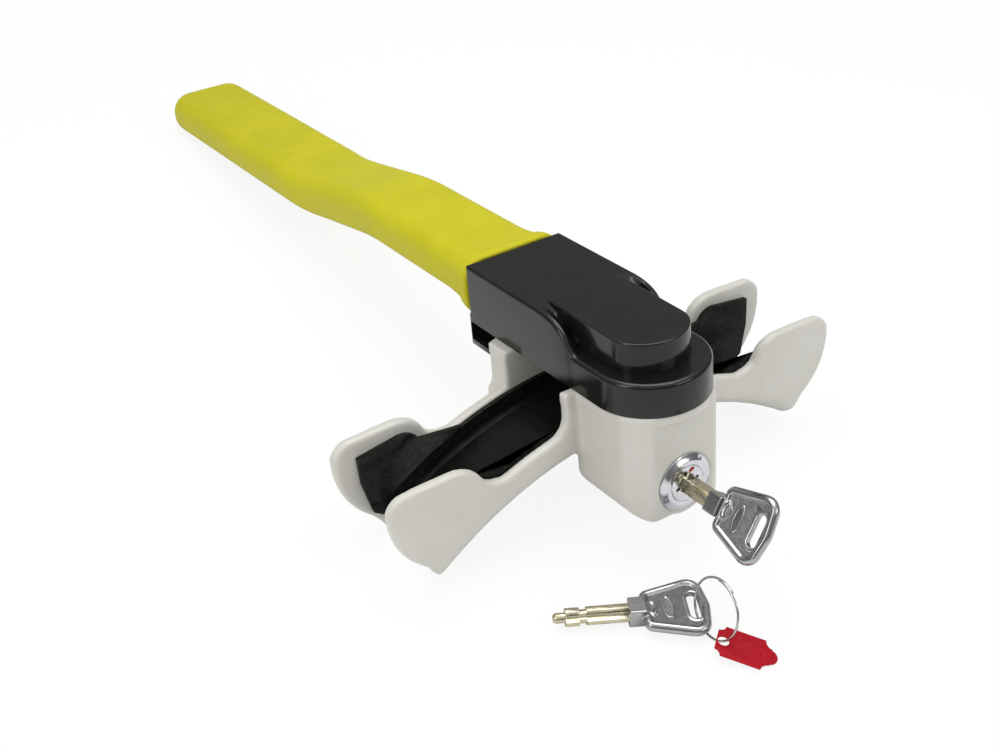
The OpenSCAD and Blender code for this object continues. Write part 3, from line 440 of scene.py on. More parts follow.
# CAD nodes that keep their own shape
keptFinishes = {
    "pivot_shaft": zincSteel, "pivot_washer": zincSteel, "retaining_ring": springSteel, "thrust_washer": nylonWhite,
    "lock_barrel": zincSteel, "barrel_grub_screw": zincSteel, "driver_pins": pinBrass, "pin_springs": springSteel,
    "cover_screws": zincSteel, "key_pins": pinBrass, "plug_cam": zincSteel, "cam_screw": zincSteel,
    "lock_bolt": zincSteel, "arm_bar": zincSteel, "pivot_bush": pinBrass, "housing_screws": zincSteel}
for nodeName, material in keptFinishes.items():
    nodes[nodeName].data.materials.clear()
    nodes[nodeName].data.materials.append(material)

# saddle casting
casting = {"voxel": 0.85, "rounds": 56, "plain": 0.75, "sharp": 0.99, "thin": 0.5, "lockHeight": -35.7,
           "lockClear": 14.4, "faceDepth": -14, "lockFade": 1.6, "boreRadius": 12.9, "boreBack": 20,
           "pivotRadius": 21, "pivotLow": -2, "band": (-6.2, -5.2), "lowEndAcross": (82, 90),
           "lowEndHeight": (-57, -49)}


def castingSharp(point):
    # the lock's seat and the band under the arm keep their edges, and the ears' low ends are rounded most
    away = math.hypot(point.x, point.z - casting["lockHeight"])
    atLock = 0
    if point.y < casting["faceDepth"]:
        atLock = 1 - smoothStep(away, casting["lockClear"], casting["lockClear"] + casting["lockFade"])
    inBore = 1.0 if away < casting["boreRadius"] and point.y < casting["boreBack"] else 0
    atPivot = 1.0 if math.hypot(point.x, point.y) < casting["pivotRadius"] and point.z > casting["pivotLow"] else 0
    atBand = smoothStep(point.z, *casting["band"])
    atLowEnd = smoothStep(abs(point.x), *casting["lowEndAcross"]) \
        * (1 - smoothStep(point.z, *casting["lowEndHeight"]))
    return max(max(atLock, inBore, atPivot, atBand) * casting["sharp"], casting["plain"] * (1 - atLowEnd))


castBody = copyOf("cast_body", "saddleCasting", armAxes)
remesh(castBody, casting["voxel"], casting["rounds"], castingSharp, casting["thin"])
settle(castBody, armAxes, "saddle", castPaint, ["cast_body"], 60)
print("casting", len(castBody.data.polygons))

# liner and cover; the radii are those of every piece rounded from its own CAD shape
edgeRadius = {"liner": 0.7, "cover": 0.5, "plug": 0.18, "pad": 0.9, "shank": 0.16, "tag": 0.22}
liner = copyOf("channel_liner", "channelLiner", armAxes)
roundEdges(liner, edgeRadius["liner"], 32)
settle(liner, armAxes, "saddle", linerRubber, ["channel_liner"], 35)

cover = copyOf("rear_cover", "rearCover", armAxes)
roundEdges(cover, edgeRadius["cover"], 40)
settle(cover, armAxes, "saddle", castPaint, ["rear_cover"])
print("liner and cover")

# lock face
lockFace = {"axis": -35.7, "front": -23.3, "segments": 96, "roll": 57.5, "notchAt": 11.5, "notchAngle": 52,
            "dotAt": (2.2, 5.9), "dot": (1.55, 0.95), "dotHeight": 0.12, "keywayAt": 5.0, "keyway": (1.05, 0.8),
            "keywayTurns": (12, 102, 192, 282), "keywayHeight": 0.05}
# radius and depth of the bezel's section
bezelSection = [(8.1, -20.12), (12.85, -20.12), (12.85, -21.72), (12.7, -21.95), (12.4, -22.1), (11.2, -22.75),
                (10.55, -23.18), (10.3, -23.33), (10.05, -23.38), (8.6, -23.38), (8.3, -23.3), (8.12, -23.1)]


def lathe(name, profile, segments):
    # profile of (radius, y) turned about the lock's axis
    points, faces, count = [], [], len(profile)
    for k in range(segments):
        a = 2 * math.pi * k / segments
        points += [(r * math.cos(a), y, lockFace["axis"] + r * math.sin(a)) for r, y in profile]
    for k in range(segments):
        for i in range(count):
            j = (i + 1) % count
            following = (k + 1) % segments * count
            faces.append((k * count + i, k * count + j, following + j, following + i))
    piece = newPiece(name, points, faces)
    weld(piece, 0.0005)
    return piece


bezel = lathe("lockBezel", bezelSection, lockFace["segments"])
notch = blockPiece((-0.75, -24, -1.1), (0.75, -22.1, 1.1))
notchAngle = math.radians(lockFace["notchAngle"])
notchPlace = Vector((lockFace["notchAt"] * math.cos(notchAngle), 0,
                     lockFace["axis"] + lockFace["notchAt"] * math.sin(notchAngle)))
notch.data.transform(Matrix.Translation(notchPlace) @ Matrix.Rotation(notchAngle - math.pi / 2, 4, "Y"))
cut(bezel, notch)
settle(bezel, armAxes, "saddle", lockChrome, ["lock_bezel"], 28)

plug = copyOf("lock_plug", "lockPlug", armAxes)
roundEdges(plug, edgeRadius["plug"], 50, 2)
settle(plug, armAxes, "plug", lockChrome, ["lock_plug"], 30)


def facePatch(name, outline, height, material):
    # a thin raised patch on the plug's face, outline in (x, z) about the lock's axis
    count = len(outline)
    points, faces = [], []
    front = lockFace["front"]
    for scale, y in ((1.0, front + 0.05), (1.0, front - height * 0.6), (0.8, front - height)):
        cx, cz = (sum(p[i] for p in outline) / count for i in (0, 1))
        points += [(cx + (x - cx) * scale, y, lockFace["axis"] + cz + (z - cz) * scale) for x, z in outline]
    for ring in (0, 1):
        faces += [(ring * count + i, ring * count + (i + 1) % count,
                   (ring + 1) * count + (i + 1) % count, (ring + 1) * count + i)
                  for i in range(count)]
    faces += [tuple(range(count)), tuple(range(2 * count, 3 * count))[::-1]]
    piece = newPiece(name, points, faces)
    weld(piece, 0.0005)
    return settle(piece, armAxes, "plug", material)


def ellipse(centre, long, short, turn, steps=24):
    c, s = math.cos(math.radians(turn)), math.sin(math.radians(turn))
    return [(centre[0] + long * math.cos(a) * c - short * math.sin(a) * s,
             centre[1] + long * math.cos(a) * s + short * math.sin(a) * c)
            for a in (2 * math.pi * k / steps for k in range(steps))]


facePatch("plugDot", ellipse(lockFace["dotAt"], *lockFace["dot"], 20), lockFace["dotHeight"], dotPaint)
# four dark patches round the keyway: painted shade where the notches are, raised on the face rather than cut in
for k, angle in enumerate(lockFace["keywayTurns"]):
    a = math.radians(angle)
    place = (lockFace["keywayAt"] * math.cos(a), lockFace["keywayAt"] * math.sin(a))
    outline = ellipse(place, *lockFace["keyway"], angle, 14)
    facePatch(f"keywayNotchShade{k + 1}", outline, lockFace["keywayHeight"], holeShadePaint)
print("lock face")

# housing
housing = {"half": 25.5, "back": 95.5, "top": 27.4, "deck": 14.8, "edge": 2.1, "corner": 2.3, "ridgeIn": 20.3,
           "ridgeOut": 23.2, "shell": 3.0, "boxFront": 39.7, "hookFront": 80, "hookDrop": 12, "hookTop": 4,
           "hookSheet": 3, "hookWall": 1, "barFront": 38.7, "barHalf": 15.2, "barLow": 9.8, "barTop": 18.2,
           "topSteps": 34}
outerRoll = [(16.6, 14.8), (18.2, 16.2), (20.1, 18.7), (22.4, 21.7),
             (26.2, 24.7), (30, 26.2), (34.7, 27.1), (39.5, 27.4)]
innerRoll = [(25.0, 14.8), (27.4, 15.6), (29.3, 17.8), (31.2, 22.0),
             (33.4, 24.6), (36.5, 26.1), (40, 27.0), (43.5, 27.4)]


def along(line, y):
    return float(np.interp(y, [p[0] for p in line], [p[1] for p in line]))


def softAlong(line, y):
    return sum(along(line, y + d) for d in (-1.2, -0.6, 0, 0.6, 1.2)) / 5


def housingTop(x, y):
    blend = smoothStep(abs(x), housing["ridgeIn"], housing["ridgeOut"])
    return softAlong(innerRoll, y) * (1 - blend) + softAlong(outerRoll, y) * blend


def housingOutline():
    h, back, r = housing["half"], housing["back"], housing["corner"]
    right = [(h, y) for y in np.arange(0, back - r - 0.3, 0.6)]
    rear = [(x, back) for x in np.arange(h - r - 0.5, -(h - r), -1.0)]
    return (arc((0, 0), h, -90, 0, 64)[:-1] + right + arc((h - r, back - r), r, 0, 90, 6)
            + rear + arc((r - h, back - r), r, 90, 180, 6)
            + [(-x, y) for x, y in right[::-1]] + arc((0, 0), h, 180, 270, 64)[1:-1])


def edgeDistance(x, y):
    if y < 0:
        return housing["half"] - math.hypot(x, y)
    return min(housing["half"] - abs(x), housing["back"] - y)


def roundedTop(outline, spineBack, height, distance, edge, low, name, steps):
    # walls up from low, a rounded rim, then the top drawn in to the middle line
    rings, count = [], len(outline)
    insets = [0, 0.06, 0.16, 0.32, 0.55, 0.8, 1.0]
    for depth in insets:
        ring = []
        for x, y in outline:
            sx, sy = 0.0, min(max(y, 0.0), spineBack)
            reach = math.hypot(x - sx, y - sy)
            t = depth * edge / max(reach, edge)
            ring.append((x + (sx - x) * t, y + (sy - y) * t))
        rings.append(ring)
    last = rings[-1]
    for k in range(1, steps + 1):
        rings.append([(x + (0.0 - x) * k / steps, y + (min(max(y, 0.0), spineBack) - y) * k / steps)
                      for x, y in last])
    points = [(x, y, low) for x, y in outline]
    for ring in rings:
        for x, y in ring:
            d = min(max(distance(x, y), 0.0), edge)
            points.append((x, y, height(x, y) - edge + math.sqrt(max(edge * edge - (edge - d) ** 2, 0))))
    faces = [tuple(range(count))[::-1]]
    for ring in range(len(rings)):
        faces += [(ring * count + i, ring * count + (i + 1) % count,
                   (ring + 1) * count + (i + 1) % count, (ring + 1) * count + i)
                  for i in range(count)]
    piece = newPiece(name, points, faces)
    weld(piece, 0.004)
    return piece


shell = roundedTop(housingOutline(), housing["back"] - housing["half"], housingTop, edgeDistance, housing["edge"],
                   0.0, "armHousing", housing["topSteps"])
hook = blockPiece((-housing["half"], housing["hookFront"], -housing["hookDrop"]),
                  (housing["half"], housing["back"], housing["hookTop"]))
roundEdges(hook, 1.0, 35)
cut(shell, hook, "UNION")


def housingPlan(shrink):
    h = housing["half"] - shrink
    return arc((0, 0), h, 180, 360, 72) + [(h, housing["back"] - shrink), (-h, housing["back"] - shrink)]


capPlace = {"half": 17.9, "nose": 19.6, "noseY": 4.1, "back": 42, "top": 28.4, "low": 11.9, "wall": 2.2,
            "edge": 0.8, "slope": 0.012, "rear": 1.0, "easing": 60, "gap": 0.15, "topSteps": 14, "spineFront": 17,
            "roof": 3.0}


def capPlan(grow, rear=0.01):
    # round nose, eased shoulders and straight sides; rear is the radius of the two back corners
    h, r, y0, back = capPlace["half"] + grow, capPlace["nose"] + grow, capPlace["noseY"], capPlace["back"] + grow
    reach = math.degrees(math.acos(h / r))
    nose = arc((0, y0), r, 270, 360 - reach, 60)
    side = [(h, y) for y in np.arange(nose[-1][1] + 0.3, nose[-1][1] + 12, 0.3)]
    half = np.array(nose + side)
    spread = np.exp(-(half[:, 1] - nose[-1][1]) ** 2 / 18)
    for _ in range(capPlace["easing"]):
        middle = (half[:-2] + half[2:]) / 2
        half[1:-1] += (middle - half[1:-1]) * spread[1:-1, None]
    half = [tuple(p) for p in half]
    side = [(h, y) for y in np.arange(half[-1][1] + 1, back - rear - 0.5, 1.0)]
    right = half + side + arc((h - rear, back - rear), rear, 0, 90, 4)
    rearEdge = [(x, back) for x in np.arange(h - rear - 1, rear - h + 0.5, -1.0)]
    return right + rearEdge + [(-x, y) for x, y in right[::-1]][:-1]


# hollows: nose, box, seat of the cap, way for the bar, slot above the hook, and the box's open floor
wallIn, backIn, barHalf = housing["half"] - housing["shell"], housing["back"] - housing["shell"], housing["barHalf"]
cut(shell, prismPiece(housingPlan(housing["shell"]), -1, housing["deck"] - housing["shell"]))
cut(shell, blockPiece((-wallIn, housing["boxFront"], 1), (wallIn, backIn, housing["top"] - housing["shell"])))
cut(shell, prismPiece(capPlan(capPlace["gap"]), 10.8, 40))
cut(shell, blockPiece((-barHalf, housing["barFront"], housing["barLow"]), (barHalf, 100, housing["barTop"])))
cut(shell, blockPiece((-2 * housing["half"], housing["hookFront"] - 1, housing["hookSheet"] - housing["hookDrop"]),
                      (2 * housing["half"], housing["back"] - housing["hookWall"], -0.01)))
cut(shell, blockPiece((-wallIn, 70, -1), (wallIn, backIn, 5)))
settle(shell, armAxes, "arm", glossBlack, ["arm_housing"], 30)
print("housing", len(shell.data.polygons))


capOutline = np.array(capPlan(0, capPlace["rear"]))


def capDistance(x, y):
    # from a point inside to the nearest side of the cap's outline
    start, run = capOutline, np.roll(capOutline, -1, axis=0) - capOutline
    share = np.clip(((x - start[:, 0]) * run[:, 0] + (y - start[:, 1]) * run[:, 1]) / (run ** 2).sum(axis=1), 0, 1)
    return float(np.hypot(start[:, 0] + share * run[:, 0] - x, start[:, 1] + share * run[:, 1] - y).min())


def capTop(x, y):
    return capPlace["top"] - capPlace["slope"] * (capPlace["back"] - y)


cap = roundedTop([tuple(p) for p in capOutline], capPlace["back"] - capPlace["spineFront"], capTop, capDistance,
                 capPlace["edge"], capPlace["low"], "pivotCap", capPlace["topSteps"])
cut(cap, prismPiece(capPlan(-capPlace["wall"]), 10, capPlace["top"] - capPlace["roof"]))
cut(cap, blockPiece((-barHalf, 0, 10), (barHalf, 43, 19.1)))
settle(cap, armAxes, "arm", glossBlack, ["pivot_cap"], 30)

pad = copyOf("rim_pad", "rimPad", armAxes)
roundEdges(pad, edgeRadius["pad"], 60)
settle(pad, armAxes, "arm", linerRubber, ["rim_pad"])
print("cap and pad")

# grip sleeve
grip = {"start": 95.8, "length": 466, "level": 14.0, "drop": 11.2, "bendAt": 185, "bendRadius": 175,
        "bendAngle": 8.4, "wide": 46.5, "endWide": 50, "thick": 23, "corner": 9.8, "leftEnd": 17, "rightEnd": 10,
        "endRun": 14, "endEdge": 6, "sides": 104, "step": 1.25, "foldAt": 296.5, "foldSlant": -0.33,
        "foldDepth": 1.2, "lipHeight": 0.8, "widenFrom": 60, "widenTo": 110}
collarLine = [(95.8, 1.3), (96.3, 2.2), (97.2, 2.6), (99.5, 2.5), (102, 2.1), (103.8, 1.5), (104.8, 0.75),
              (105.8, 0.95), (107.5, 0.8), (112, 0.35), (119, 0.0)]


def gripLine(y):
    # height and slope of the bar's middle line
    r, turn = grip["bendRadius"], math.radians(grip["bendAngle"])
    straight = (grip["drop"] - 2 * r * (1 - math.cos(turn))) / math.sin(turn)
    reach = 2 * r * math.sin(turn) + straight * math.cos(turn)
    u = y - grip["bendAt"]
    if u <= 0:
        return grip["level"], 0.0
    if u >= reach:
        return grip["level"] - grip["drop"], 0.0
    if u < r * math.sin(turn):
        a = math.asin(u / r)
        return grip["level"] - r * (1 - math.cos(a)), a
    if u > reach - r * math.sin(turn):
        a = math.asin((reach - u) / r)
        return grip["level"] - grip["drop"] + r * (1 - math.cos(a)), a
    return grip["level"] - r * (1 - math.cos(turn)) - (u - r * math.sin(turn)) * math.tan(turn), turn


def gripSection(y):
    # ring of points about the middle line at y
    length = grip["length"]
    widen = smoothStep(y, grip["bendAt"] + grip["widenFrom"], grip["bendAt"] + grip["widenTo"])
    half = (grip["wide"] + (grip["endWide"] - grip["wide"]) * widen) / 2
    proud = along(collarLine, y) if y < 119 else 0.0
    left = right = half + proud
    tall = grip["thick"] / 2 + proud

    def inset(radius):
        d = max(0.0, y - (length - radius))
        return radius - math.sqrt(max(radius * radius - d * d, 0))
    left -= inset(grip["leftEnd"])
    right -= inset(grip["rightEnd"])
    over = max(0.0, y - (length - grip["endRun"])) / grip["endRun"]
    tall -= grip["endEdge"] * (1 - math.sqrt(max(1 - over * over, 0)))
    corner = min(grip["corner"] + 0.8 * widen, tall * 0.97, (left + right) / 2 * 0.97)
    z0, slope = gripLine(y)
    ring = []
    per = grip["sides"] // 4
    for quarter, (cx, cz) in enumerate(((right - corner, tall - corner), (corner - left, tall - corner),
                                        (corner - left, corner - tall), (right - corner, corner - tall))):
        for k in range(per):
            a = math.radians(90 * quarter + 90 * k / (per - 1))
            ring.append([cx + corner * math.cos(a), cz + corner * math.sin(a)])
    points = []
    for x, z in ring:
        lift = gripCrease(x, y, z, tall)
        points.append((x, y + z * math.sin(slope), z0 + (z + lift) * math.cos(slope)))
    return points


def gripCrease(x, y, z, tall):
    # a fold across the top at the end of the bend, and slight hollows where the sleeve is drawn tight
    if z < tall * 0.3:
        return 0.0
    top = smoothStep(z, tall * 0.3, tall)
    place = grip["foldAt"] + grip["foldSlant"] * x - 0.012 * x * x
    reach = smoothStep(x, -18, -9) * (1 - smoothStep(x, 2, 14))
    fold = grip["lipHeight"] * bump(y, place + 4.8, 3.2) - grip["foldDepth"] * bump(y, place, 2.6) \
        + 0.3 * bump(y, place - 5.5, 3.4)
    second = -0.4 * bump(y, place - 13, 4) * smoothStep(x, -2, 8)
    hollow = -0.4 * bump(y, place - 2, 15) - 0.25 * bump(y, place + 42, 20)
    return top * (fold * reach + second * reach + hollow)


# places along the arm: close together at the collar and at the rounded end
endRun = [grip["length"] - grip["leftEnd"] * (1 - math.sin(math.radians(a))) for a in np.linspace(3, 90, 30)]
stations = [grip["start"], 96.1, 96.6, 97.2, 98, 99, 100, 101, 102, 103, 103.8, 104.3, 104.8, 105.3, 105.8, 106.6] \
    + list(np.arange(107.5, grip["length"] - grip["leftEnd"] - 0.2, grip["step"])) + endRun
rings = [gripSection(y) for y in stations]
# the last section closes in to a slightly crowned end, the first one turns in to the bar
lastRing = rings[-1]
middle = np.mean(np.array(lastRing), axis=0)
for scale in (0.85, 0.65, 0.4, 0.15):
    rings.append([tuple(middle + (np.array(p) - middle) * scale) for p in lastRing])
startMiddle = np.array([0, grip["start"], grip["level"]])
mouth = startMiddle + np.array([0, 0.4, 0])
first = [tuple(mouth + (np.array(p) - startMiddle) * 0.9) for p in rings[0]]
rings = [first] + rings
count = len(rings[0])
gripFaces = [(k * count + i, k * count + (i + 1) % count, (k + 1) * count + (i + 1) % count, (k + 1) * count + i)
             for k in range(len(rings) - 1) for i in range(count)]
gripFaces += [tuple(range(count))[::-1], tuple(range((len(rings) - 1) * count, len(rings) * count))]
sleeve = newPiece("gripSleeve", [p for ring in rings for p in ring], gripFaces)
weld(sleeve, 0.003)
settle(sleeve, armAxes, "arm", gripVinyl, ["grip_sleeve"], 60)
print("grip", len(sleeve.data.polygons))

# keys
key = {"shank": 30, "collar": 7, "collarWide": 8.6, "bow": 26, "wide": 29, "slotLong": 14, "slotWide": 4.6,
       "voxel": 0.2, "rail": 1.95, "railHeight": 2.2, "panelIn": 1.4, "panelHalf": 1.2, "neckHalf": (4.2, 1.7),
       "emblemAt": 9.0, "emblem": (1.9, 5.4), "emblemWire": 0.45, "emblemHeight": 1.3,
       "ridgeAt": 2.6, "ridge": (1.5, 3.1), "ridgeWire": 0.5, "ridgeHeight": 1.55,
       "slotRim": 0.75, "slotRimHeight": 1.5, "grainIn": 3.7, "seated": -38.3}
bowStart = key["shank"] + key["collar"]
keySlotX = bowStart + key["bow"] - 6.6
emblemX = bowStart + key["emblemAt"]


def hullOutline(circles, steps=180):
    # the convex outline round some circles
    outline = []
    for k in range(steps):
        a = 2 * math.pi * k / steps
        d = (math.cos(a), math.sin(a))
        x, y, r = max(circles, key=lambda c: c[0] * d[0] + c[1] * d[1] + c[2])
        outline.append((x + r * d[0], y + r * d[1]))
    return outline


def bowOutline(shrink):
    far = bowStart + key["bow"]
    near = bowStart - 1.6
    half = key["wide"] / 2
    return hullOutline([(far - 7.7, half - 6.5, 6.5 - shrink), (far - 7.7, 6.5 - half, 6.5 - shrink),
                        (far - 11, 0, 11 - shrink), (near + 3.8, half - 8.0, 3.8 - shrink),
                        (near + 3.8, 8.0 - half, 3.8 - shrink)])


def tube(outline, radius, flat, steps=16):
    # a closed round rail along an outline of (x, y), flattened in z
    count = len(outline)
    points, faces = [], []
    for i, (x, y) in enumerate(outline):
        before, after = outline[i - 1], outline[(i + 1) % count]
        tangent = Vector((after[0] - before[0], after[1] - before[1], 0)).normalized()
        side = Vector((tangent.y, -tangent.x, 0))
        for k in range(steps):
            a = 2 * math.pi * k / steps
            points.append((x + side.x * radius * math.cos(a), y + side.y * radius * math.cos(a),
                           radius * flat * math.sin(a)))
    for i in range(count):
        for k in range(steps):
            j = (i + 1) % count
            faces.append((i * steps + k, i * steps + (k + 1) % steps, j * steps + (k + 1) % steps, j * steps + k))
    return newPiece("rail", points, faces)


def slotOutline(grow):
    r = key["slotWide"] / 2 + grow
    reach = (key["slotLong"] - key["slotWide"]) / 2
    return ([(keySlotX + x, reach + y) for x, y in arc((0, 0), r, 0, 180, 14)]
            + [(keySlotX + x, y - reach) for x, y in arc((0, 0), r, 180, 360, 14)])


def joined(name, parts):
    mesh = bmesh.new()
    for part in parts:
        mesh.from_mesh(part.data)
        bpy.data.objects.remove(part)
    data = bpy.data.meshes.new(name)
    bmesh.ops.recalc_face_normals(mesh, faces=mesh.faces)
    mesh.to_mesh(data)
    mesh.free()
    piece = bpy.data.objects.new(name, data)
    scene.collection.objects.link(piece)
    return piece


def oval(centre, size, steps):
    return [(centre + size[0] * math.cos(a), size[1] * math.sin(a))
            for a in np.linspace(0, 2 * math.pi, steps, endpoint=False)]


def keyBow(name):
    # panel, raised rim, collar, neck and slot rim, then an oval ridge and a plain oval emblem on each side
    panel = prismPiece(bowOutline(key["panelIn"]), -key["panelHalf"], key["panelHalf"])
    rim = tube(bowOutline(key["rail"]), key["rail"], key["railHeight"] / key["rail"])
    collarHalf = key["collarWide"] / 2
    collar = blockPiece((key["shank"] + 0.05, -collarHalf, -collarHalf), (bowStart + 0.05, collarHalf, collarHalf))
    roundEdges(collar, 0.45, 35)
    neckWide, neckThick = key["neckHalf"]
    neck = blockPiece((bowStart - 1, -neckWide, -neckThick), (bowStart + 3.0, neckWide, neckThick))
    slotRim = tube(slotOutline(key["slotRim"]), key["slotRim"], key["slotRimHeight"] / key["slotRim"])
    parts = [panel, rim, collar, neck, slotRim]
    for side in (-1, 1):
        ridge = tube(oval(bowStart + key["ridgeAt"], key["ridge"], 48), key["ridgeWire"], 1.0)
        ridge.data.transform(Matrix.Translation((0, 0, side * key["ridgeHeight"])))
        emblem = tube(oval(emblemX, key["emblem"], 64), key["emblemWire"], 1.0)
        emblem.data.transform(Matrix.Translation((0, 0, side * key["emblemHeight"])))
        face = prismPiece(oval(emblemX, key["emblem"], 64), side * 0.9 - 0.62, side * 0.9 + 0.62)
        parts += [ridge, emblem, face]
    bow = joined(name, parts)
    remesh(bow, key["voxel"], 3)
    cut(bow, prismPiece(slotOutline(0), -5, 5))
    remesh(bow, key["voxel"], 2, thin=0.45)
    return bow


def keyMaterials(piece):
    # polished all over, with a grained panel inside the rim
    piece.data.materials.append(bowPanel)
    outline = np.array(bowOutline(key["grainIn"]))
    following = np.roll(outline, -1, axis=0)
    for polygon in piece.data.polygons:
        x, y, z = polygon.center
        edge, away = following - outline, np.array((x, y)) - outline
        side = edge[:, 0] * away[:, 1] - edge[:, 1] * away[:, 0]
        inside = bool((side > 0).all())
        emblem = ((x - emblemX) / 2.5) ** 2 + (y / 6.0) ** 2 < 1    # these three stay smooth
        slot = abs(x - keySlotX) < 3.9 and abs(y) < 8.6
        neck = x < bowStart + 4.8 and abs(y) < 4.4
        if inside and not emblem and not slot and not neck and abs(z) > 0.9:
            polygon.material_index = 1


lockAxes = armAxes @ Matrix.Translation((0, key["seated"] + key["shank"], lockFace["axis"])) \
    @ Matrix.Rotation(math.radians(-90), 4, "Z") @ Matrix.Rotation(math.radians(lockFace["roll"]), 4, "X")
bowLow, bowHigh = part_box("spare_key_bow")
spare = {"tip": (-0.0694, -0.0691), "turn": math.radians(-27.6)}
tableAxes = axesMatrix(Vector((*spare["tip"], (bowLow[2] + bowHigh[2]) / 2)),
                       Vector((math.cos(spare["turn"]), math.sin(spare["turn"]), 0)),
                       Vector((-math.sin(spare["turn"]), math.cos(spare["turn"]), 0)), Vector((0, 0, 1)))
for body, prefix, axes in (("key", "key", lockAxes), ("spare_key", "spareKey", tableAxes)):
    cadPrefix = "key" if body == "key" else "spare_key"
    bow = keyBow(prefix + "Bow")
    settle(bow, Matrix.Identity(4), body, bowChrome, [cadPrefix + "_bow"], 70)
    keyMaterials(bow)
    bow.data.transform(axes)
    shank = copyOf(cadPrefix + "_shank", prefix + "Shank", axes)
    roundEdges(shank, edgeRadius["shank"], 40, 2)
    settle(shank, axes, body, shankNickel, [cadPrefix + "_shank"], 30)
print("keys", len(bow.data.polygons))

# key ring: sprung wire whose ends overlap
ring = {"radius": 12.5, "wire": 0.5, "tilt": 75.9, "turn": 23.6, "centre": (62.5, -9.4), "overlap": 34,
        "lift": 0.46, "start": -20, "steps": 150, "sides": 12, "hang": 0.35}
ringLift = ring["hang"] - key["collarWide"] / 2 + ring["radius"] * math.sin(math.radians(ring["tilt"]))
ringAxes = tableAxes @ Matrix.Translation((*ring["centre"], ringLift)) \
    @ Matrix.Rotation(math.radians(ring["turn"]), 4, "Z") @ Matrix.Rotation(math.radians(-ring["tilt"]), 4, "Y")


def sweptTube(name, path, radius, sides):
    # an open tube with round ends along a path that lies near a plane
    points, faces = [], []
    path = [Vector(p) for p in path]
    end = len(path) - 1
    stations = [(0, 0.35), (0, 0.75)] + [(i, 1.0) for i in range(len(path))] + [(end, 0.75), (end, 0.35)]
    offsets = [-0.45, -0.25] + [0] * len(path) + [0.25, 0.45]
    for (i, scale), offset in zip(stations, offsets):
        tangent = (path[min(i + 1, end)] - path[max(i - 1, 0)]).normalized()
        side = tangent.cross(Vector((0, 0, 1))).normalized()
        up = side.cross(tangent)
        for k in range(sides):
            a = 2 * math.pi * k / sides
            across = (side * math.cos(a) + up * math.sin(a)) * radius * scale
            points.append(path[i] + tangent * offset * radius * 2 + across)
    rows = len(stations)
    for i in range(rows - 1):
        for k in range(sides):
            faces.append((i * sides + k, i * sides + (k + 1) % sides,
                          (i + 1) * sides + (k + 1) % sides, (i + 1) * sides + k))
    faces += [tuple(range(sides))[::-1], tuple(range((rows - 1) * sides, rows * sides))]
    piece = newPiece(name, points, faces)
    weld(piece, 0.0005)
    return piece


turns = np.linspace(0, 360 + ring["overlap"], ring["steps"])
wirePath = []
for t in turns:
    a = math.radians(ring["start"] + t)
    rise = ring["lift"] * (smoothStep(t, 0, ring["overlap"] * 2.2) - 1) \
        + ring["lift"] * smoothStep(t, 360 - ring["overlap"] * 1.2, 360)
    wirePath.append((ring["radius"] * math.cos(a), ring["radius"] * math.sin(a), rise))
keyRing = sweptTube("keyRing", wirePath, ring["wire"], ring["sides"])
settle(keyRing, ringAxes, "ring", ringWire, ["key_ring"], 60)

tag = copyOf("key_tag", "keyTag", tableAxes)
roundEdges(tag, edgeRadius["tag"], 50, 2)
settle(tag, tableAxes, "tag", tagPlastic, ["key_tag"], 30)
print("ring and tag")

# floor, light and camera
studio = {"floor": 3.0, "floorColour": (0.86, 0.86, 0.86), "skyDiffuse": 0.62, "shadowShare": 0.12,
          "mirrorStops": [(0.0, 0.4), (0.5, 0.16), (0.62, 0.2), (0.76, 0.42), (0.88, 0.8), (1.0, 1.0)],
          "lens": 48.54, "filmWidth": 36, "cameraPlace": (-0.2860, -0.3627, 0.3601),
          "cameraAxes": ((0.8333, -0.5528, -0.0060), (0.3378, 0.5005, 0.7972), (-0.4376, -0.6664, 0.6037))}
# place, target, width, height and power of each lamp
softboxes = {"topBox": ((0.1, 0.15, 0.95), (0, 0.05, 0), 0.9, 0.7, 6.0),
             "leftBox": ((-0.95, -0.1, 0.55), (0, 0.05, 0), 0.35, 0.8, 2.6),
             "frontBox": ((0.45, -0.95, 0.6), (0, 0, 0), 0.6, 0.3, 2.2)}


def floorMaterial():
    material = bpy.data.materials.new("paleFloor")
    material.use_nodes = True
    tree = material.node_tree
    shader = tree.nodes["Principled BSDF"]
    shader.inputs["Base Color"].default_value = (*studio["floorColour"], 1)
    shader.inputs["Roughness"].default_value = 0.9
    shader.inputs["Specular IOR Level"].default_value = 0.1
    glow = tree.nodes.new("ShaderNodeEmission")
    glow.inputs["Strength"].default_value = 1.0
    mix = tree.nodes.new("ShaderNodeMixShader")
    ray = tree.nodes.new("ShaderNodeLightPath")
    share = mathNode(tree, "MULTIPLY", ray.outputs["Is Camera Ray"], 1 - studio["shadowShare"])
    tree.links.new(share, mix.inputs[0])
    tree.links.new(shader.outputs[0], mix.inputs[1])
    tree.links.new(glow.outputs[0], mix.inputs[2])
    tree.links.new(mix.outputs[0], tree.nodes["Material Output"].inputs["Surface"])
    return material


floorSize = studio["floor"]
visualLow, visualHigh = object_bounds()
floor = newPiece("floor", [(-floorSize, -floorSize, 0), (floorSize, -floorSize, 0),
                           (floorSize, floorSize, 0), (-floorSize, floorSize, 0)], [(0, 1, 2, 3)])
floor.location.z = visualLow[2] - 0.0001
floor.data.materials.append(floorMaterial())


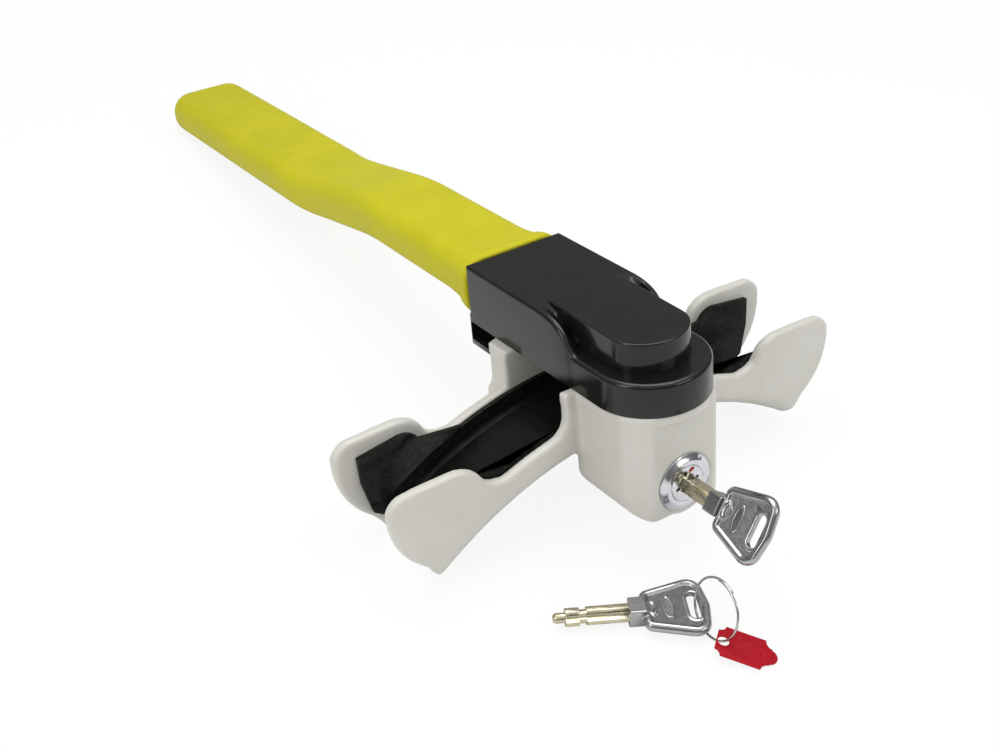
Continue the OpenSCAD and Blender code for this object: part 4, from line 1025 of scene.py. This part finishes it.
def buildWorld():
    world = bpy.data.worlds.new("studio")
    scene.world = world
    world.use_nodes = True
    tree = world.node_tree
    tree.nodes.clear()
    direction = tree.nodes.new("ShaderNodeTexCoord").outputs["Generated"]
    split = tree.nodes.new("ShaderNodeSeparateXYZ")
    tree.links.new(direction, split.inputs[0])
    ramp = tree.nodes.new("ShaderNodeValToRGB")
    stops = studio["mirrorStops"]
    while len(ramp.color_ramp.elements) < len(stops):
        ramp.color_ramp.elements.new(0.5)
    for element, (position, grey) in zip(ramp.color_ramp.elements, stops):
        element.position = position
        element.color = (grey, grey, grey, 1)
    height = mathNode(tree, "MULTIPLY_ADD", split.outputs["Z"], 0.5)
    height.node.inputs[2].default_value = 0.5
    tree.links.new(height, ramp.inputs[0])
    seen = tree.nodes.new("ShaderNodeBackground")
    seen.inputs["Color"].default_value = (1, 1, 1, 1)
    mirrored = tree.nodes.new("ShaderNodeBackground")
    mirrored.inputs["Strength"].default_value = 1.0
    tree.links.new(ramp.outputs[0], mirrored.inputs["Color"])
    ambient = tree.nodes.new("ShaderNodeBackground")
    ambient.inputs["Color"].default_value = (1, 1, 1, 1)
    ambient.inputs["Strength"].default_value = studio["skyDiffuse"]
    ray = tree.nodes.new("ShaderNodeLightPath")
    glossy = tree.nodes.new("ShaderNodeMixShader")
    camera = tree.nodes.new("ShaderNodeMixShader")
    tree.links.new(ray.outputs["Is Glossy Ray"], glossy.inputs[0])
    tree.links.new(ambient.outputs[0], glossy.inputs[1])
    tree.links.new(mirrored.outputs[0], glossy.inputs[2])
    behind = mathNode(tree, "MAXIMUM", ray.outputs["Is Camera Ray"], ray.outputs["Is Transmission Ray"])
    tree.links.new(behind, camera.inputs[0])
    tree.links.new(glossy.outputs[0], camera.inputs[1])
    tree.links.new(seen.outputs[0], camera.inputs[2])
    out = tree.nodes.new("ShaderNodeOutputWorld")
    tree.links.new(camera.outputs[0], out.inputs["Surface"])


def softbox(name, place, target, width, height, power):
    data = bpy.data.lights.new(name, "AREA")
    data.shape = "RECTANGLE"
    data.size, data.size_y = width, height
    data.energy = power
    lamp = bpy.data.objects.new(name, data)
    lamp.location = place
    lamp.rotation_mode = "QUATERNION"
    lamp.rotation_quaternion = (Vector(target) - Vector(place)).to_track_quat("-Z", "Y")
    scene.collection.objects.link(lamp)
    return lamp


buildWorld()
for name, values in softboxes.items():
    softbox(name, *values)

cameraData = bpy.data.cameras.new("camera")
cameraData.lens = studio["lens"]
cameraData.sensor_width = studio["filmWidth"]
camera = bpy.data.objects.new("camera", cameraData)
scene.collection.objects.link(camera)
cameraMatrix = Matrix([Vector(v).normalized() for v in studio["cameraAxes"]]).transposed().to_4x4()
cameraMatrix.translation = Vector(studio["cameraPlace"])
camera.matrix_world = cameraMatrix
cameraData.clip_start = 0.02
scene.camera = camera
scene.view_settings.view_transform = "Standard"

print("scene ready")
